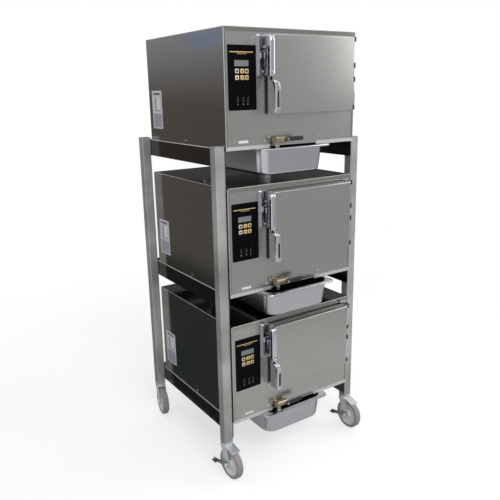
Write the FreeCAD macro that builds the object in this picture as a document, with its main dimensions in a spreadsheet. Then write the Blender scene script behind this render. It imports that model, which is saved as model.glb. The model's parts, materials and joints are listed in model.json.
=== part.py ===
import FreeCAD, Part
import os
import re
import Sketcher
from FreeCAD import Placement, Rotation, Vector

# Three convection steamers stacked in a wheeled stand, a drip pan under each.
# x runs to the right, y to the back and z up, and the fronts face -y.
# Sizes are in millimetres and angles in degrees.
# Inside a steamer, heights are above its deck, which is the level that its base stands on,
# and x and y are from its middle. On a door they are from the hinge axis, and on a caster
# they are from the swivel axis, with heights above the floor.
sizes = {
    # Place of the steamers over the middle of the stack, and the level each one stands at
    "steamer_shift": 8,
    "lower_deck": 234,
    "middle_deck": 761,
    "upper_deck": 1303,
    # Stand
    "caster_height": 150,
    "post_size": 38,
    "post_wall": 2,
    "post_round": 3,
    "post_over_deck": 9,
    "post_set_back": 8,
    "post_overhang": 48.5,
    "stand_side_gap": 2,
    "rail_drop": 68,
    "rail_shelf": 40,
    "rail_gauge": 3,
    "cap_plate": 2,
    "cap_plug": 15,
    "plug_clearance": 0.1,
    # Steamer cabinet
    "steamer_width": 594,
    "steamer_depth": 605,
    "steamer_height": 403,
    "sheet_gauge": 1.5,
    "seam_gap": 0.3,
    "cabinet_round": 4,
    "top_lip": 15,
    "side_lip": 8,
    "base_lip_up": 6,
    "base_lip_down": 7,
    "lip_notch_left": -110,
    "lip_notch_right": 107,
    "base_flange": 18,
    "vent_left": -262,
    "vent_width": 90,
    "vent_height": 4,
    "vent_low": 240,
    "vent_pitch": 14,
    "vent_count": 7,
    # Screws and rivets on the cabinet
    "screw_head_radius": 4,
    "screw_head_height": 2,
    "screw_radius": 2,
    "screw_length": 7,
    "screw_clearance": 0.2,
    "left_screw_x": -259,
    "left_screw_z": 18,
    "valve_screw_x": -130,
    "valve_screw_z": 18.6,
    "notch_screw_x": -112,
    "notch_screw_z": 30,
    "middle_screw_x": 127,
    "middle_screw_z": 21.5,
    "right_screw_x": 254,
    "right_screw_z": 18,
    "side_screw_y": -5,
    "side_screw_z": 12,
    "rivet_x": -143,
    "rivet_low": 150,
    "rivet_pitch": 26.5,
    "rivet_radius": 2.5,
    "rivet_height": 1,
    "rivet_count": 3,
    # Cooking cavity, heating plate and insulation
    "cavity_middle": 64,
    "cavity_width": 340,
    "cavity_height": 232,
    "cavity_depth": 545,
    "cavity_floor": 131,
    "mouth_flange": 15,
    "plate_width": 330,
    "plate_depth": 495,
    "plate_height": 24,
    "plate_set_back": 47.5,
    "terminal_radius": 4,
    "terminal_reach": 40,
    "terminal_spread": 40,
    "jacket_wall": 25,
    # Wire racks in the cavity
    "wire_radius": 3,
    "rack_wall_gap": 0.3,
    "runner_inset": 12,
    "first_runner": 54,
    "runner_pitch": 70,
    "runner_count": 3,
    "runner_margin": 20,
    "upright_margin": 60,
    # Controls
    "overlay_left": -282,
    "overlay_width": 115.5,
    "overlay_bottom": 129.5,
    "overlay_height": 215.5,
    "overlay_gauge": 1.2,
    "overlay_round": 4,
    "display_left": -255,
    "display_width": 56.5,
    "display_bottom": 276,
    "display_height": 19,
    "display_gap": 0.2,
    "board_margin": 4,
    "board_gauge": 1.6,
    "standoff_length": 6,
    "standoff_radius": 3,
    "standoff_inset": 8,
    "contactor_left": -232,
    "contactor_width": 48,
    "contactor_front": -100,
    "contactor_depth": 70,
    "contactor_height": 72,
    "terminals_left": -262,
    "terminals_width": 64,
    "terminals_front": 180,
    "terminals_depth": 34,
    "terminals_height": 32,
    # Cable gland in the back
    "gland_x": -230,
    "gland_height": 45,
    "gland_bore": 5.5,
    "gland_radius": 10,
    "gland_nut_radius": 14,
    "gland_nut_length": 5,
    "gland_collar_length": 8,
    "gland_dome_length": 11,
    # Door and its hinges
    "hinge_x": 266,
    "hinge_out": 25.5,
    "door_side_gap": 14,
    "door_width": 376,
    "door_height": 267,
    "door_thickness": 37,
    "door_gap": 9,
    "door_bottom": 113,
    "door_gauge": 1.5,
    "door_round": 4,
    "liner_raise": 8.5,
    "liner_margin": 6,
    "liner_round": 18,
    "gasket_width": 8,
    "gasket_margin": 5,
    "gasket_clearance": 0.3,
    "gasket_round": 12,
    "top_hinge_low": 271,
    "top_hinge_length": 112,
    "bottom_hinge_low": 117,
    "bottom_hinge_length": 121,
    "barrel_radius": 9,
    "pin_radius": 4,
    "pin_clearance": 0.05,
    "knuckle_gap": 0.3,
    "knuckle_share": 18,
    "door_leaf_gauge": 3,
    "door_leaf_back": 13,
    "door_leaf_front": 16,
    "cabinet_leaf_left": 257,
    "cabinet_leaf_gauge": 7,
    "leaf_round": 3,
    # Latch on the door's free edge and its strike on the cabinet
    "strike_width": 33,
    "strike_bottom": 243,
    "strike_height": 138,
    "strike_thickness": 10,
    "strike_round": 5,
    "strike_slot_width": 18,
    "strike_slot_bottom": 270,
    "strike_slot_height": 76,
    "strike_slot_depth": 8,
    "strike_screw_height": 257,
    "catch_radius": 3.5,
    "catch_gap": 0.3,
    "latch_width": 26,
    "latch_depth": 22,
    "latch_wall": 3,
    "latch_proud": 9.5,
    "latch_bottom": 242,
    "latch_height": 135,
    "latch_top_round": 12,
    "latch_slot_width": 21,
    "latch_slot_height": 34,
    "latch_hole_height": 255,
    "latch_hole_radius": 2.5,
    "nose_width": 8,
    "nose_bottom": 300,
    "nose_height": 22,
    "nose_gap": 2,
    "pivot_set_back": 13,
    "pivot_height": 250,
    "pivot_radius": 3,
    "pivot_clearance": 0.05,
    "root_width": 20,
    "root_depth": 8,
    "root_over_pivot": 18,
    "neck_under_pivot": 14,
    "neck_depth": 12,
    "grip_top": 222,
    "grip_length": 104,
    "grip_width": 22,
    "grip_depth": 14,
    "grip_out": 18.5,
    "grip_round": 5,
    "groove_side": 4.6,
    "groove_width": 6,
    "groove_depth": 4,
    "groove_bottom": 132,
    "groove_height": 63,
    # Drain pipe and valve
    "pipe_x": -91,
    "pipe_set_back": 22.5,
    "pipe_radius": 9,
    "pipe_bore": 7,
    "pipe_insertion": 5,
    "pipe_clearance": 0.05,
    "valve_height": 24,
    "valve_out": 17.5,
    "valve_left": -100,
    "valve_length": 48,
    "valve_radius": 13,
    "valve_bore": 6,
    "valve_panel_gap": 2,
    "inlet_radius": 11.5,
    "end_ring_radius": 15,
    "end_ring_width": 6,
    "end_ring_recess": 9,
    "spout_radius": 9,
    "spout_drop": 30,
    "stem_x": -57.5,
    "stem_radius": 4,
    "stem_clearance": 0.05,
    "bonnet_radius": 8,
    "bonnet_length": 15.7,
    "lever_gap": 0.3,
    "lever_gauge": 4,
    "lever_height": 18,
    "lever_tail": 9,
    "lever_reach": 73.5,
    "lever_round": 7,
    "stem_nut_size": 11,
    "stem_nut_height": 4,
    # Drip pans and the slides that hang them
    "pan_width": 325,
    "pan_depth": 530,
    "pan_height": 100,
    "pan_gauge": 1,
    "pan_drop": 8,
    "rim_edge_gauge": 1.5,
    "rim_depth": 7,
    "rim_round": 20,
    "wall_set_in": 12.5,
    "wall_taper": 5,
    "wall_round": 52,
    "pan_foot_round": 14,
    "pan_seated_overhang": 26.5,
    "upper_pan_out": 0,
    "middle_pan_out": 36,
    "lower_pan_out": 6,
    "hanger_gauge": 1.5,
    "hanger_side_gap": 1.5,
    "hanger_flange": 25,
    "ledge_reach": 12,
    "pan_seat_gap": 0.3,
    "hanger_set_back": 2.5,
    "pan_stop_gap": 0.5,
    # Casters
    "wheel_radius": 63.5,
    "wheel_width": 28,
    "tyre_inner": 50,
    "tyre_round": 7,
    "hub_half_width": 13,
    "hub_boss_radius": 14,
    "hub_web_half": 5,
    "hub_web_inner": 19,
    "hub_web_outer": 37,
    "hub_rim_half": 12,
    "hub_rim_inner": 44,
    "axle_radius": 4,
    "axle_clearance": 0.05,
    "axle_head_radius": 7,
    "axle_head_length": 4,
    "caster_trail": 30,
    "fork_gap": 2,
    "fork_gauge": 3,
    "fork_front": 24,
    "fork_back": 20,
    "fork_foot": 11,
    "fork_round": 10,
    "hood_reach": 64,
    "hood_fall": 10,
    "crown_bottom": 133,
    "crown_gauge": 5,
    "raceway_radius": 22,
    "swivel_gap": 0.3,
    "stem_disc_radius": 24,
    "stem_disc_height": 6,
    "kingpin_radius": 6,
    "kingpin_clearance": 0.05,
    "kingpin_nut_size": 18,
    "kingpin_nut_height": 5.5,
    "kingpin_end": 127,
    "caster_plug": 35,
    "fl_turn": 4,
    "fr_turn": 2,
    "rl_turn": -10,
    "rr_turn": -12,
    "pedal_gauge": 3,
    "pedal_gap": 4,
    "pedal_side_gap": 0.3,
    "pedal_eye_radius": 9,
    "pedal_reach": 88,
    "pedal_foot": 44,
    "pedal_tab_gauge": 5,
    "pedal_tab_length": 24,
    "pedal_tab_width": 10,
    "spacer_radius": 6.5,
}

steamers = ("lower", "middle", "upper")

doc = FreeCAD.newDocument("SteamerStack")
sheet = doc.addObject("Spreadsheet::Sheet", "Sizes")
for row, (alias, value) in enumerate(sizes.items(), start=1):
    sheet.set(f"A{row}", alias)
    sheet.set(f"B{row}", str(value))
    sheet.setAlias(f"B{row}", alias)
doc.recompute()

size_names = re.compile(r"\b(" + "|".join(sizes) + r")\b")
axis_turns = {
    "x": Rotation(Vector(0, 1, 0), 90),
    "y": Rotation(Vector(1, 0, 0), -90),
    "z": Rotation(),
}
full_turn = 360
half_turn = 180
nut_sides = 6

# Levels and faces that many pieces share, in a steamer's own frame
front = "(-steamer_depth / 2)"
back = "(steamer_depth / 2)"
side = "(steamer_width / 2)"
panel_face = f"({front} + sheet_gauge)"
panel_back = f"({front} + 2 * sheet_gauge)"
inner_side = f"({side} - sheet_gauge - seam_gap)"
cavity_left = "(cavity_middle - cavity_width / 2)"
cavity_right = "(cavity_middle + cavity_width / 2)"
cavity_top = "(cavity_floor + cavity_height)"
cavity_back = f"({front} + cavity_depth)"
liner_bottom = "(cavity_floor - sheet_gauge)"
plate_bottom = f"({liner_bottom} - plate_height)"
plate_left = "(cavity_middle - plate_width / 2)"
plate_right = "(cavity_middle + plate_width / 2)"
plate_front = f"({front} + plate_set_back)"
plate_back = f"({plate_front} + plate_depth)"
pipe_y = f"({front} + pipe_set_back)"
valve_y = f"({front} - valve_out)"
rivet_heights = [f"(rivet_low + {step} * rivet_pitch)" for step in range(sizes["rivet_count"])]
strike_screw_x = "(hinge_x - door_side_gap - door_width - strike_width / 2)"
front_screws = [f"{place}_screw" for place in ("left", "valve", "notch", "middle", "right")]

# The posts and rails, in the steamers' plan
post_x = "(steamer_width / 2 + stand_side_gap + post_size / 2)"
front_post_y = f"({front} + post_set_back + post_size / 2)"
rear_post_y = f"({back} + post_overhang - post_size / 2)"
post_top = "(upper_deck + post_over_deck)"
tube_top = f"({post_top} - cap_plate)"
post_places = {
    "fl": (f"-{post_x}", front_post_y),
    "fr": (post_x, front_post_y),
    "rl": (f"-{post_x}", rear_post_y),
    "rr": (post_x, rear_post_y),
}

# A door's faces, from its hinge axis
door_right = "(-door_side_gap)"
door_left = "(-door_side_gap - door_width)"
door_back = "(hinge_out - door_gap)"
door_front = f"({door_back} - door_thickness)"
door_top = "(door_bottom + door_height)"
door_panel_face = "(hinge_out + sheet_gauge)"
door_cavity_left = "(cavity_middle - cavity_width / 2 - hinge_x)"
door_cavity_right = "(cavity_middle + cavity_width / 2 - hinge_x)"
latch_x = f"({door_left} - latch_width / 2)"
latch_front = f"({door_front} - latch_proud)"
latch_back = f"({latch_front} + latch_depth)"
pivot_y = f"({latch_front} + pivot_set_back)"
nose_top = "(nose_bottom + nose_height)"
nose_end = f"({door_panel_face} - strike_thickness + strike_slot_depth - nose_gap)"

# How the handle's neck bends down its height: that share gone by, and the shares of its way out
# to the grip and of its way aside to it
neck_bend = ((0, 0, 0), (0.25, 0.2, 0), (0.5, 0.6, 0.3), (0.75, 0.9, 0.7), (1, 1, 1))

# A caster's levels
axle_level = "wheel_radius"
crown_top = "(crown_bottom + crown_gauge)"
raceway_rise = f"(caster_height - stem_disc_height - swivel_gap - {crown_top})"
fork_inside = "(wheel_width / 2 + fork_gap)"
fork_outside = f"({fork_inside} + fork_gauge)"
pedal_inside = f"({fork_outside} + pedal_gap)"
pedal_outside = f"({pedal_inside} + pedal_gauge)"


def bind(thing, path, formula):
    thing.setExpression(path, size_names.sub(r"Sizes.\1", str(formula)))


def place(thing, x, y, z, turn="0"):
    for axis, formula in zip("xyz", (x, y, z)):
        bind(thing, f"Placement.Base.{axis}", formula)
    bind(thing, "Placement.Rotation.Angle", turn)
    return thing


def block(name, low, high):
    box = doc.addObject("Part::Box", name)
    for length, axis, first, last in zip(("Length", "Width", "Height"), "xyz", low, high):
        bind(box, length, f"({last}) - ({first})")
        bind(box, f"Placement.Base.{axis}", first)
    return box


def rod(name, axis, radius, start, length):
    cylinder = doc.addObject("Part::Cylinder", name)
    cylinder.Placement = Placement(Vector(), axis_turns[axis])
    bind(cylinder, "Radius", radius)
    bind(cylinder, "Height", length)
    for letter, formula in zip("xyz", start):
        bind(cylinder, f"Placement.Base.{letter}", formula)
    return cylinder


def hexagon(name, axis, across_flats, start, length):
    nut = doc.addObject("Part::Prism", name)
    nut.Polygon = nut_sides
    nut.Placement = Placement(Vector(), axis_turns[axis])
    bind(nut, "Circumradius", f"({across_flats}) / 2 / cos({half_turn / nut_sides} deg)")
    bind(nut, "Height", length)
    for letter, formula in zip("xyz", start):
        bind(nut, f"Placement.Base.{letter}", formula)
    return nut


def join(name, *pieces):
    fuse = doc.addObject("Part::MultiFuse", name)
    fuse.Shapes = pieces
    fuse.Refine = True
    return fuse


def cut(name, base, *tools):
    result = doc.addObject("Part::Cut", name)
    result.Base = base
    result.Tool = tools[0] if len(tools) == 1 else join(f"{name}_holes", *tools)
    return result


def group(name, *pieces):
    compound = doc.addObject("Part::Compound", name)
    compound.Links = pieces
    return compound


def sketch(body, role, start, level="0"):
    flat = body.newObject("Sketcher::SketchObject", f"{body.Name}_sketch")
    base_plane = next(item for item in body.Origin.OriginFeatures if item.Role == role)
    flat.AttachmentSupport = [(base_plane, "")]
    flat.MapMode = "FlatFace"
    # The XZ plane faces -y, so a place along y is measured against its normal.
    sense = "-" if role == "XZ_Plane" else ""
    bind(flat, "AttachmentOffset.Base.z", f"{sense}({start})")
    bind(flat, "AttachmentOffset.Base.y", level)
    return flat


def draw(flat, outline):
    count = len(outline)
    for index in range(count):
        here = Vector(index, index * index, 0)
        there = Vector(index + 1, (index + 1) * (index + 1), 0)
        flat.addGeometry(Part.LineSegment(here, there), False)
    for index in range(count):
        flat.addConstraint(Sketcher.Constraint("Coincident", index, 2, (index + 1) % count, 1))
    for index, point in enumerate(outline):
        for kind, formula in zip(("DistanceX", "DistanceY"), point):
            number = flat.addConstraint(Sketcher.Constraint(kind, -1, 1, index, 1, 1.0))
            bind(flat, f"Constraints[{number}]", formula)


def rectangle(left, right, bottom, top):
    return [(left, bottom), (right, bottom), (right, top), (left, top)]


# A bar of the given outline, which starts at a place along the axis square to its plane.
def prism(name, role, start, outline, length, taper="0"):
    body = doc.addObject("PartDesign::Body", name)
    profile = sketch(body, role, start)
    draw(profile, outline)
    pad = body.newObject("PartDesign::Pad", f"{name}_pad")
    pad.Profile = profile
    pad.Reversed = role == "XZ_Plane"
    bind(pad, "Length", length)
    bind(pad, "TaperAngle", taper)
    return body


# A shape of revolution about a line along x, from points given as x and radius.
def turned(name, y, z, outline):
    body = doc.addObject("PartDesign::Body", name)
    profile = sketch(body, "XZ_Plane", y, z)
    draw(profile, outline)
    spin = body.newObject("PartDesign::Revolution", f"{name}_spin")
    spin.Profile = profile
    spin.ReferenceAxis = (profile, ["H_Axis"])
    spin.Angle = full_turn
    return body


# A solid between flat outlines at several levels.
def lofted(name, levels):
    body = doc.addObject("PartDesign::Body", name)
    profiles = []
    for level, outline in levels:
        profile = sketch(body, "XY_Plane", level)
        draw(profile, outline)
        profiles.append(profile)
    loft = body.newObject("PartDesign::AdditiveLoft", f"{name}_loft")
    loft.Profile = profiles[0]
    loft.Sections = profiles[1:]
    loft.Ruled = True
    return body


# Round the edges that a test picks from their direction, their own box and the body's box.
def soften(body, radius, test):
    doc.recompute()
    tip = body.Tip
    whole = tip.Shape.optimalBoundingBox()
    names = []
    for number, edge in enumerate(tip.Shape.Edges, start=1):
        direction = edge.tangentAt(edge.FirstParameter)
        if test(direction, edge.optimalBoundingBox(), whole):
            names.append(f"Edge{number}")
    rounding = body.newObject("PartDesign::Fillet", f"{body.Name}_round")
    rounding.Base = (tip, names)
    bind(rounding, "Radius", radius)
    return body


near = 0.01
mostly = 0.9


def upright(direction, own, whole):
    return abs(direction.z) > mostly


def along_x(direction, own, whole):
    return abs(direction.x) > mostly


def along_y(direction, own, whole):
    return abs(direction.y) > mostly


def top_along_y(direction, own, whole):
    return abs(direction.y) > mostly and own.ZMin > whole.ZMax - near


def foot_along_x(direction, own, whole):
    return abs(direction.x) > mostly and own.ZMax < whole.ZMin + near


def at_foot(direction, own, whole):
    return own.ZMax < whole.ZMin + near


def front_edge(direction, own, whole):
    return own.YMax < whole.YMin + near


def around_tread(direction, own, whole):
    return own.ZMax > whole.ZMax - near


# Pieces of the stand

def stand_posts():
    tubes = []
    for corner, (x, y) in post_places.items():
        left, right = f"{x} - post_size / 2", f"{x} + post_size / 2"
        near_side, far_side = f"{y} - post_size / 2", f"{y} + post_size / 2"
        outline = rectangle(left, right, near_side, far_side)
        outside = prism(f"tube_{corner}", "XY_Plane", "caster_height", outline, f"{tube_top} - caster_height")
        soften(outside, "post_round", upright)
        low = (f"{left} + post_wall", f"{near_side} + post_wall", "caster_height - post_wall")
        high = (f"{right} - post_wall", f"{far_side} - post_wall", post_top)
        tubes.append(cut(f"post_{corner}", outside, block(f"tube_bore_{corner}", low, high)))
    return tubes


def post_plug(name, x, y, bottom, top):
    half = "(post_size / 2 - post_wall - plug_clearance)"
    return block(name, (f"{x} - {half}", f"{y} - {half}", bottom), (f"{x} + {half}", f"{y} + {half}", top))


def post_caps():
    caps = []
    for corner, (x, y) in post_places.items():
        outline = rectangle(f"{x} - post_size / 2", f"{x} + post_size / 2",
                            f"{y} - post_size / 2", f"{y} + post_size / 2")
        lid = prism(f"cap_lid_{corner}", "XY_Plane", tube_top, outline, "cap_plate")
        soften(lid, "post_round", upright)
        plug = post_plug(f"cap_plug_{corner}", x, y, f"{tube_top} - cap_plug", tube_top)
        caps.append(join(f"cap_{corner}", lid, plug))
    return caps


def stand_rails():
    rails = []
    first = f"({front_post_y} - post_size / 2)"
    last = f"({rear_post_y} + post_size / 2)"
    for level in steamers:
        deck = f"{level}_deck"
        for sign in ("-", "+"):
            outer = f"{sign}({side} + stand_side_gap)"
            web = f"{sign}({side} + stand_side_gap - rail_gauge)"
            inner = f"{sign}({side} + stand_side_gap - rail_shelf)"
            outline = [(outer, deck), (inner, deck), (inner, f"{deck} - rail_gauge"),
                       (web, f"{deck} - rail_gauge"), (web, f"{deck} - rail_drop"),
                       (outer, f"{deck} - rail_drop")]
            rails.append(prism(f"side_rail_{level}", "XZ_Plane", first, outline, f"{last} - {first}"))
        reach = f"({side} + stand_side_gap - rail_gauge)"
        low = (f"-{reach}", f"{rear_post_y} - rail_gauge / 2", f"{deck} - rail_drop")
        high = (reach, f"{rear_post_y} + rail_gauge / 2", f"{deck} - rail_gauge")
        rails.append(block(f"rear_rail_{level}", low, high))
    return rails


def caster_stems():
    stems = []
    disc_bottom = "(caster_height - stem_disc_height)"
    for corner, (x, y) in post_places.items():
        plug = post_plug(f"stem_plug_{corner}", x, y, "caster_height", "caster_height + caster_plug")
        disc = rod(f"stem_disc_{corner}", "z", "stem_disc_radius", (x, y, disc_bottom), "stem_disc_height")
        pin = rod(f"kingpin_{corner}", "z", "kingpin_radius", (x, y, "kingpin_end"),
                  f"{disc_bottom} - kingpin_end")
        nut = hexagon(f"kingpin_nut_{corner}", "z", "kingpin_nut_size", (x, y, "kingpin_end"),
                      "kingpin_nut_height")
        stems.append(join(f"stem_{corner}", plug, disc, pin, nut))
    return stems


# Pieces of a steamer that don't move

def cabinet_wrapper(name):
    skin = prism(f"{name}_skin", "XZ_Plane", front, rectangle(f"-{side}", side, "0", "steamer_height"),
                 "steamer_depth")
    soften(skin, "cabinet_round", top_along_y)
    hollow = prism(f"{name}_hollow", "XZ_Plane", panel_face,
                   rectangle(f"-{side} + sheet_gauge", f"{side} - sheet_gauge", "-sheet_gauge",
                             "steamer_height - sheet_gauge"), "steamer_depth")
    soften(hollow, "cabinet_round - sheet_gauge", top_along_y)
    window = block(f"{name}_window", (f"-{side} + side_lip", f"{front} - sheet_gauge", "-sheet_gauge"),
                   (f"{side} - side_lip", panel_back, "steamer_height - top_lip"))
    toe = block(f"{name}_toe", (f"-{side} - sheet_gauge", f"{front} - sheet_gauge", "-sheet_gauge"),
                (f"{side} + sheet_gauge", panel_face, "base_lip_up + seam_gap"))
    hole = side_screw_hole(f"{name}_screw_hole")
    return [cut(name, skin, hollow, window, toe, hole)]


def side_screw_hole(name):
    start = (f"-{side} - sheet_gauge", "side_screw_y", "side_screw_z")
    return rod(name, "x", "screw_radius + screw_clearance", start, "steamer_width + 2 * sheet_gauge")


# A flat panel that fits inside the wrapper, with its two top corners rounded to clear the bends.
def inner_panel(name, start):
    outline = rectangle(f"-{inner_side}", inner_side, "sheet_gauge + seam_gap",
                        "steamer_height - sheet_gauge - seam_gap")
    sheet_metal = prism(name, "XZ_Plane", start, outline, "sheet_gauge")
    return soften(sheet_metal, "cabinet_round", top_along_y)


def front_panel(name):
    sheet_metal = inner_panel(f"{name}_sheet", panel_face)
    mouth = block(f"{name}_mouth", (cavity_left, front, "cavity_floor"),
                  (cavity_right, f"{panel_back} + sheet_gauge", cavity_top))
    reach = "3 * sheet_gauge"
    pipe_hole = ("pipe_x", front, "valve_height")
    holes = [rod(f"{name}_pipe_hole", "y", "pipe_radius + seam_gap", pipe_hole, reach)]
    for screw in front_screws:
        start = (f"{screw}_x", front, f"{screw}_z")
        holes.append(rod(f"{name}_hole", "y", "screw_radius + screw_clearance", start, reach))
    strike_hole = (strike_screw_x, front, "strike_screw_height")
    holes.append(rod(f"{name}_strike_hole", "y", "screw_radius + screw_clearance", strike_hole, reach))
    return [cut(name, sheet_metal, mouth, *holes)]


def rear_panel(name):
    sheet_metal = inner_panel(f"{name}_sheet", f"{back} - sheet_gauge")
    start = ("gland_x", f"{back} - 2 * sheet_gauge", "gland_height")
    holes = [rod(f"{name}_gland_hole", "y", "gland_radius + seam_gap", start, "3 * sheet_gauge")]
    for step in range(sizes["vent_count"]):
        bottom = f"(vent_low + {step} * vent_pitch)"
        low = ("vent_left", f"{back} - 2 * sheet_gauge", bottom)
        high = ("vent_left + vent_width", f"{back} + sheet_gauge", f"{bottom} + vent_height")
        holes.append(block(f"{name}_vent", low, high))
    return [cut(name, sheet_metal, *holes)]


def base_pan(name):
    rear = f"({back} - sheet_gauge - seam_gap)"
    flange_front = f"({panel_back} + seam_gap)"
    floor = block(f"{name}_floor", (f"-{inner_side}", front, "0"), (inner_side, rear, "sheet_gauge"))
    left = block(f"{name}_left", (f"-{inner_side}", flange_front, "0"),
                 (f"-{inner_side} + sheet_gauge", rear, "base_flange"))
    right = block(f"{name}_right", (f"{inner_side} - sheet_gauge", flange_front, "0"),
                  (inner_side, rear, "base_flange"))
    rear_flange = block(f"{name}_rear", (f"-{inner_side}", f"{rear} - sheet_gauge", "0"),
                        (inner_side, rear, "base_flange"))
    left_lip = block(f"{name}_left_lip", (f"-{side}", front, "-base_lip_down"),
                     ("lip_notch_left", panel_face, "base_lip_up"))
    right_lip = block(f"{name}_right_lip", ("lip_notch_right", front, "-base_lip_down"),
                      (side, panel_face, "base_lip_up"))
    tray = join(f"{name}_tray", floor, left, right, rear_flange, left_lip, right_lip)
    return [cut(name, tray, side_screw_hole(f"{name}_screw_hole"))]


def cooking_cavity(name):
    outside = block(f"{name}_outside",
                    (f"{cavity_left} - sheet_gauge", panel_back, liner_bottom),
                    (f"{cavity_right} + sheet_gauge", f"{cavity_back} + sheet_gauge",
                     f"{cavity_top} + sheet_gauge"))
    flange = block(f"{name}_flange",
                   (f"{cavity_left} - mouth_flange", panel_back, "cavity_floor - mouth_flange"),
                   (f"{cavity_right} + mouth_flange", f"{panel_back} + sheet_gauge",
                    f"{cavity_top} + mouth_flange"))
    hollow = block(f"{name}_hollow", (cavity_left, panel_face, "cavity_floor"),
                   (cavity_right, cavity_back, cavity_top))
    drain = rod(f"{name}_drain", "z", "pipe_bore", ("pipe_x", pipe_y, f"{liner_bottom} - sheet_gauge"),
                "3 * sheet_gauge")
    return [cut(name, join(f"{name}_walls", outside, flange), hollow, drain)]


def plate_terminals(name, radius):
    middle = f"({plate_front} + plate_depth / 2)"
    level = f"({plate_bottom} + plate_height / 2)"
    pins = []
    for sign in ("-", "+"):
        start = (f"{plate_left} - terminal_reach", f"{middle} {sign} terminal_spread / 2", level)
        pins.append(rod(name, "x", radius, start, "terminal_reach + terminal_radius"))
    return pins


def plate_body(name):
    return block(name, (plate_left, plate_front, plate_bottom), (plate_right, plate_back, liner_bottom))


def heat_plate(name):
    return [join(name, plate_body(f"{name}_body"), *plate_terminals(f"{name}_terminal", "terminal_radius"))]


def cavity_insulation(name):
    cover = "(sheet_gauge + jacket_wall)"
    low = (f"{cavity_left} - {cover}", f"{panel_back} + sheet_gauge", f"{plate_bottom} - jacket_wall")
    high = (f"{cavity_right} + {cover}", f"{cavity_back} + {cover}", f"{cavity_top} + {cover}")
    padding = block(f"{name}_outside", low, high)
    liner_space = block(f"{name}_liner_space", (f"{cavity_left} - sheet_gauge", front, liner_bottom),
                        (f"{cavity_right} + sheet_gauge", f"{cavity_back} + sheet_gauge",
                         f"{cavity_top} + sheet_gauge"))
    pipe_hole = rod(f"{name}_pipe_hole", "z", "pipe_radius + seam_gap",
                    ("pipe_x", pipe_y, f"{plate_bottom} - 2 * jacket_wall"), "2 * jacket_wall + plate_height")
    terminal_holes = plate_terminals(f"{name}_terminal_hole", "terminal_radius + seam_gap")
    return [cut(name, padding, liner_space, plate_body(f"{name}_plate_space"), pipe_hole, *terminal_holes)]


def pan_racks(name):
    racks = []
    first = f"({front} + runner_margin)"
    last = f"({cavity_back} - runner_margin)"
    runner_heights = [f"(cavity_floor + first_runner + {step} * runner_pitch)"
                      for step in range(sizes["runner_count"])]
    upright_top = f"({runner_heights[-1]} + wire_radius)"
    for wall, sign in ((cavity_left, "+"), (cavity_right, "-")):
        post_line = f"({wall} {sign} (wire_radius + rack_wall_gap))"
        runner_line = f"({wall} {sign} runner_inset)"
        wires = []
        for y in (f"({first} + upright_margin)", f"({last} - upright_margin)"):
            wires.append(rod(f"{name}_upright", "z", "wire_radius", (post_line, y, "cavity_floor"),
                             f"{upright_top} - cavity_floor"))
            for height in runner_heights:
                low_x = post_line if sign == "+" else runner_line
                wires.append(rod(f"{name}_bracket", "x", "wire_radius", (low_x, y, height),
                                 "runner_inset - wire_radius - rack_wall_gap"))
        for height in runner_heights:
            wires.append(rod(f"{name}_runner", "y", "wire_radius", (runner_line, first, height),
                             f"{last} - {first}"))
        racks.append(join(f"{name}_side", *wires))
    return racks


def display_box(name, gap):
    return block(name, (f"display_left - {gap}", f"{panel_face} - overlay_gauge", f"display_bottom - {gap}"),
                 (f"display_left + display_width + {gap}", panel_face,
                  f"display_bottom + display_height + {gap}"))


def control_overlay(name):
    outline = rectangle("overlay_left", "overlay_left + overlay_width", "overlay_bottom",
                        "overlay_bottom + overlay_height")
    face = prism(f"{name}_sheet", "XZ_Plane", f"{panel_face} - overlay_gauge", outline, "overlay_gauge")
    soften(face, "overlay_round", along_y)
    return [cut(name, face, display_box(f"{name}_window", "display_gap"))]


def display_window(name):
    return [display_box(name, "0")]


def control_electronics(name):
    left, right = "(overlay_left + board_margin)", "(overlay_left + overlay_width - board_margin)"
    bottom = "(overlay_bottom + board_margin)"
    top = "(overlay_bottom + overlay_height - board_margin)"
    board_front = f"({panel_back} + standoff_length)"
    board = block(f"{name}_board", (left, board_front, bottom), (right, f"{board_front} + board_gauge", top))
    standoffs = []
    for x in (f"{left} + standoff_inset", f"{right} - standoff_inset"):
        for z in (f"{bottom} + standoff_inset", f"{top} - standoff_inset"):
            standoffs.append(rod(f"{name}_standoff", "y", "standoff_radius", (x, panel_back, z),
                                 "standoff_length"))
    solids = [join(f"{name}_control_board", board, *standoffs)]
    for item in ("contactor", "terminals"):
        low = (f"{item}_left", f"{item}_front", "sheet_gauge")
        high = (f"{item}_left + {item}_width", f"{item}_front + {item}_depth", f"sheet_gauge + {item}_height")
        solids.append(block(f"{name}_{item}", low, high))
    return solids


def latch_strike(name):
    right = f"(hinge_x + {door_left})"
    slot_left = f"({right} - (strike_width + strike_slot_width) / 2)"
    outline = rectangle(f"{right} - strike_width", right, "strike_bottom", "strike_bottom + strike_height")
    keep = prism(f"{name}_keep", "XZ_Plane", f"{panel_face} - strike_thickness", outline, "strike_thickness")
    soften(keep, "strike_round", along_y)
    slot_outline = rectangle(slot_left, f"{slot_left} + strike_slot_width", "strike_slot_bottom",
                             "strike_slot_bottom + strike_slot_height")
    slot = prism(f"{name}_slot", "XZ_Plane", f"{panel_face} - 2 * strike_thickness", slot_outline,
                 "strike_thickness + strike_slot_depth")
    soften(slot, "strike_round", along_y)
    hole = rod(f"{name}_screw_hole", "y", "screw_radius + screw_clearance",
               (strike_screw_x, f"{panel_face} - 2 * strike_thickness", "strike_screw_height"),
               "3 * strike_thickness")
    pin_y = f"{panel_face} - strike_thickness + strike_slot_depth / 2"
    pin = rod(f"{name}_catch_pin", "x", "catch_radius",
              (slot_left, pin_y, f"{nose_top} + catch_gap + catch_radius"), "strike_slot_width")
    return [cut(name, keep, slot, hole), pin]


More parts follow.
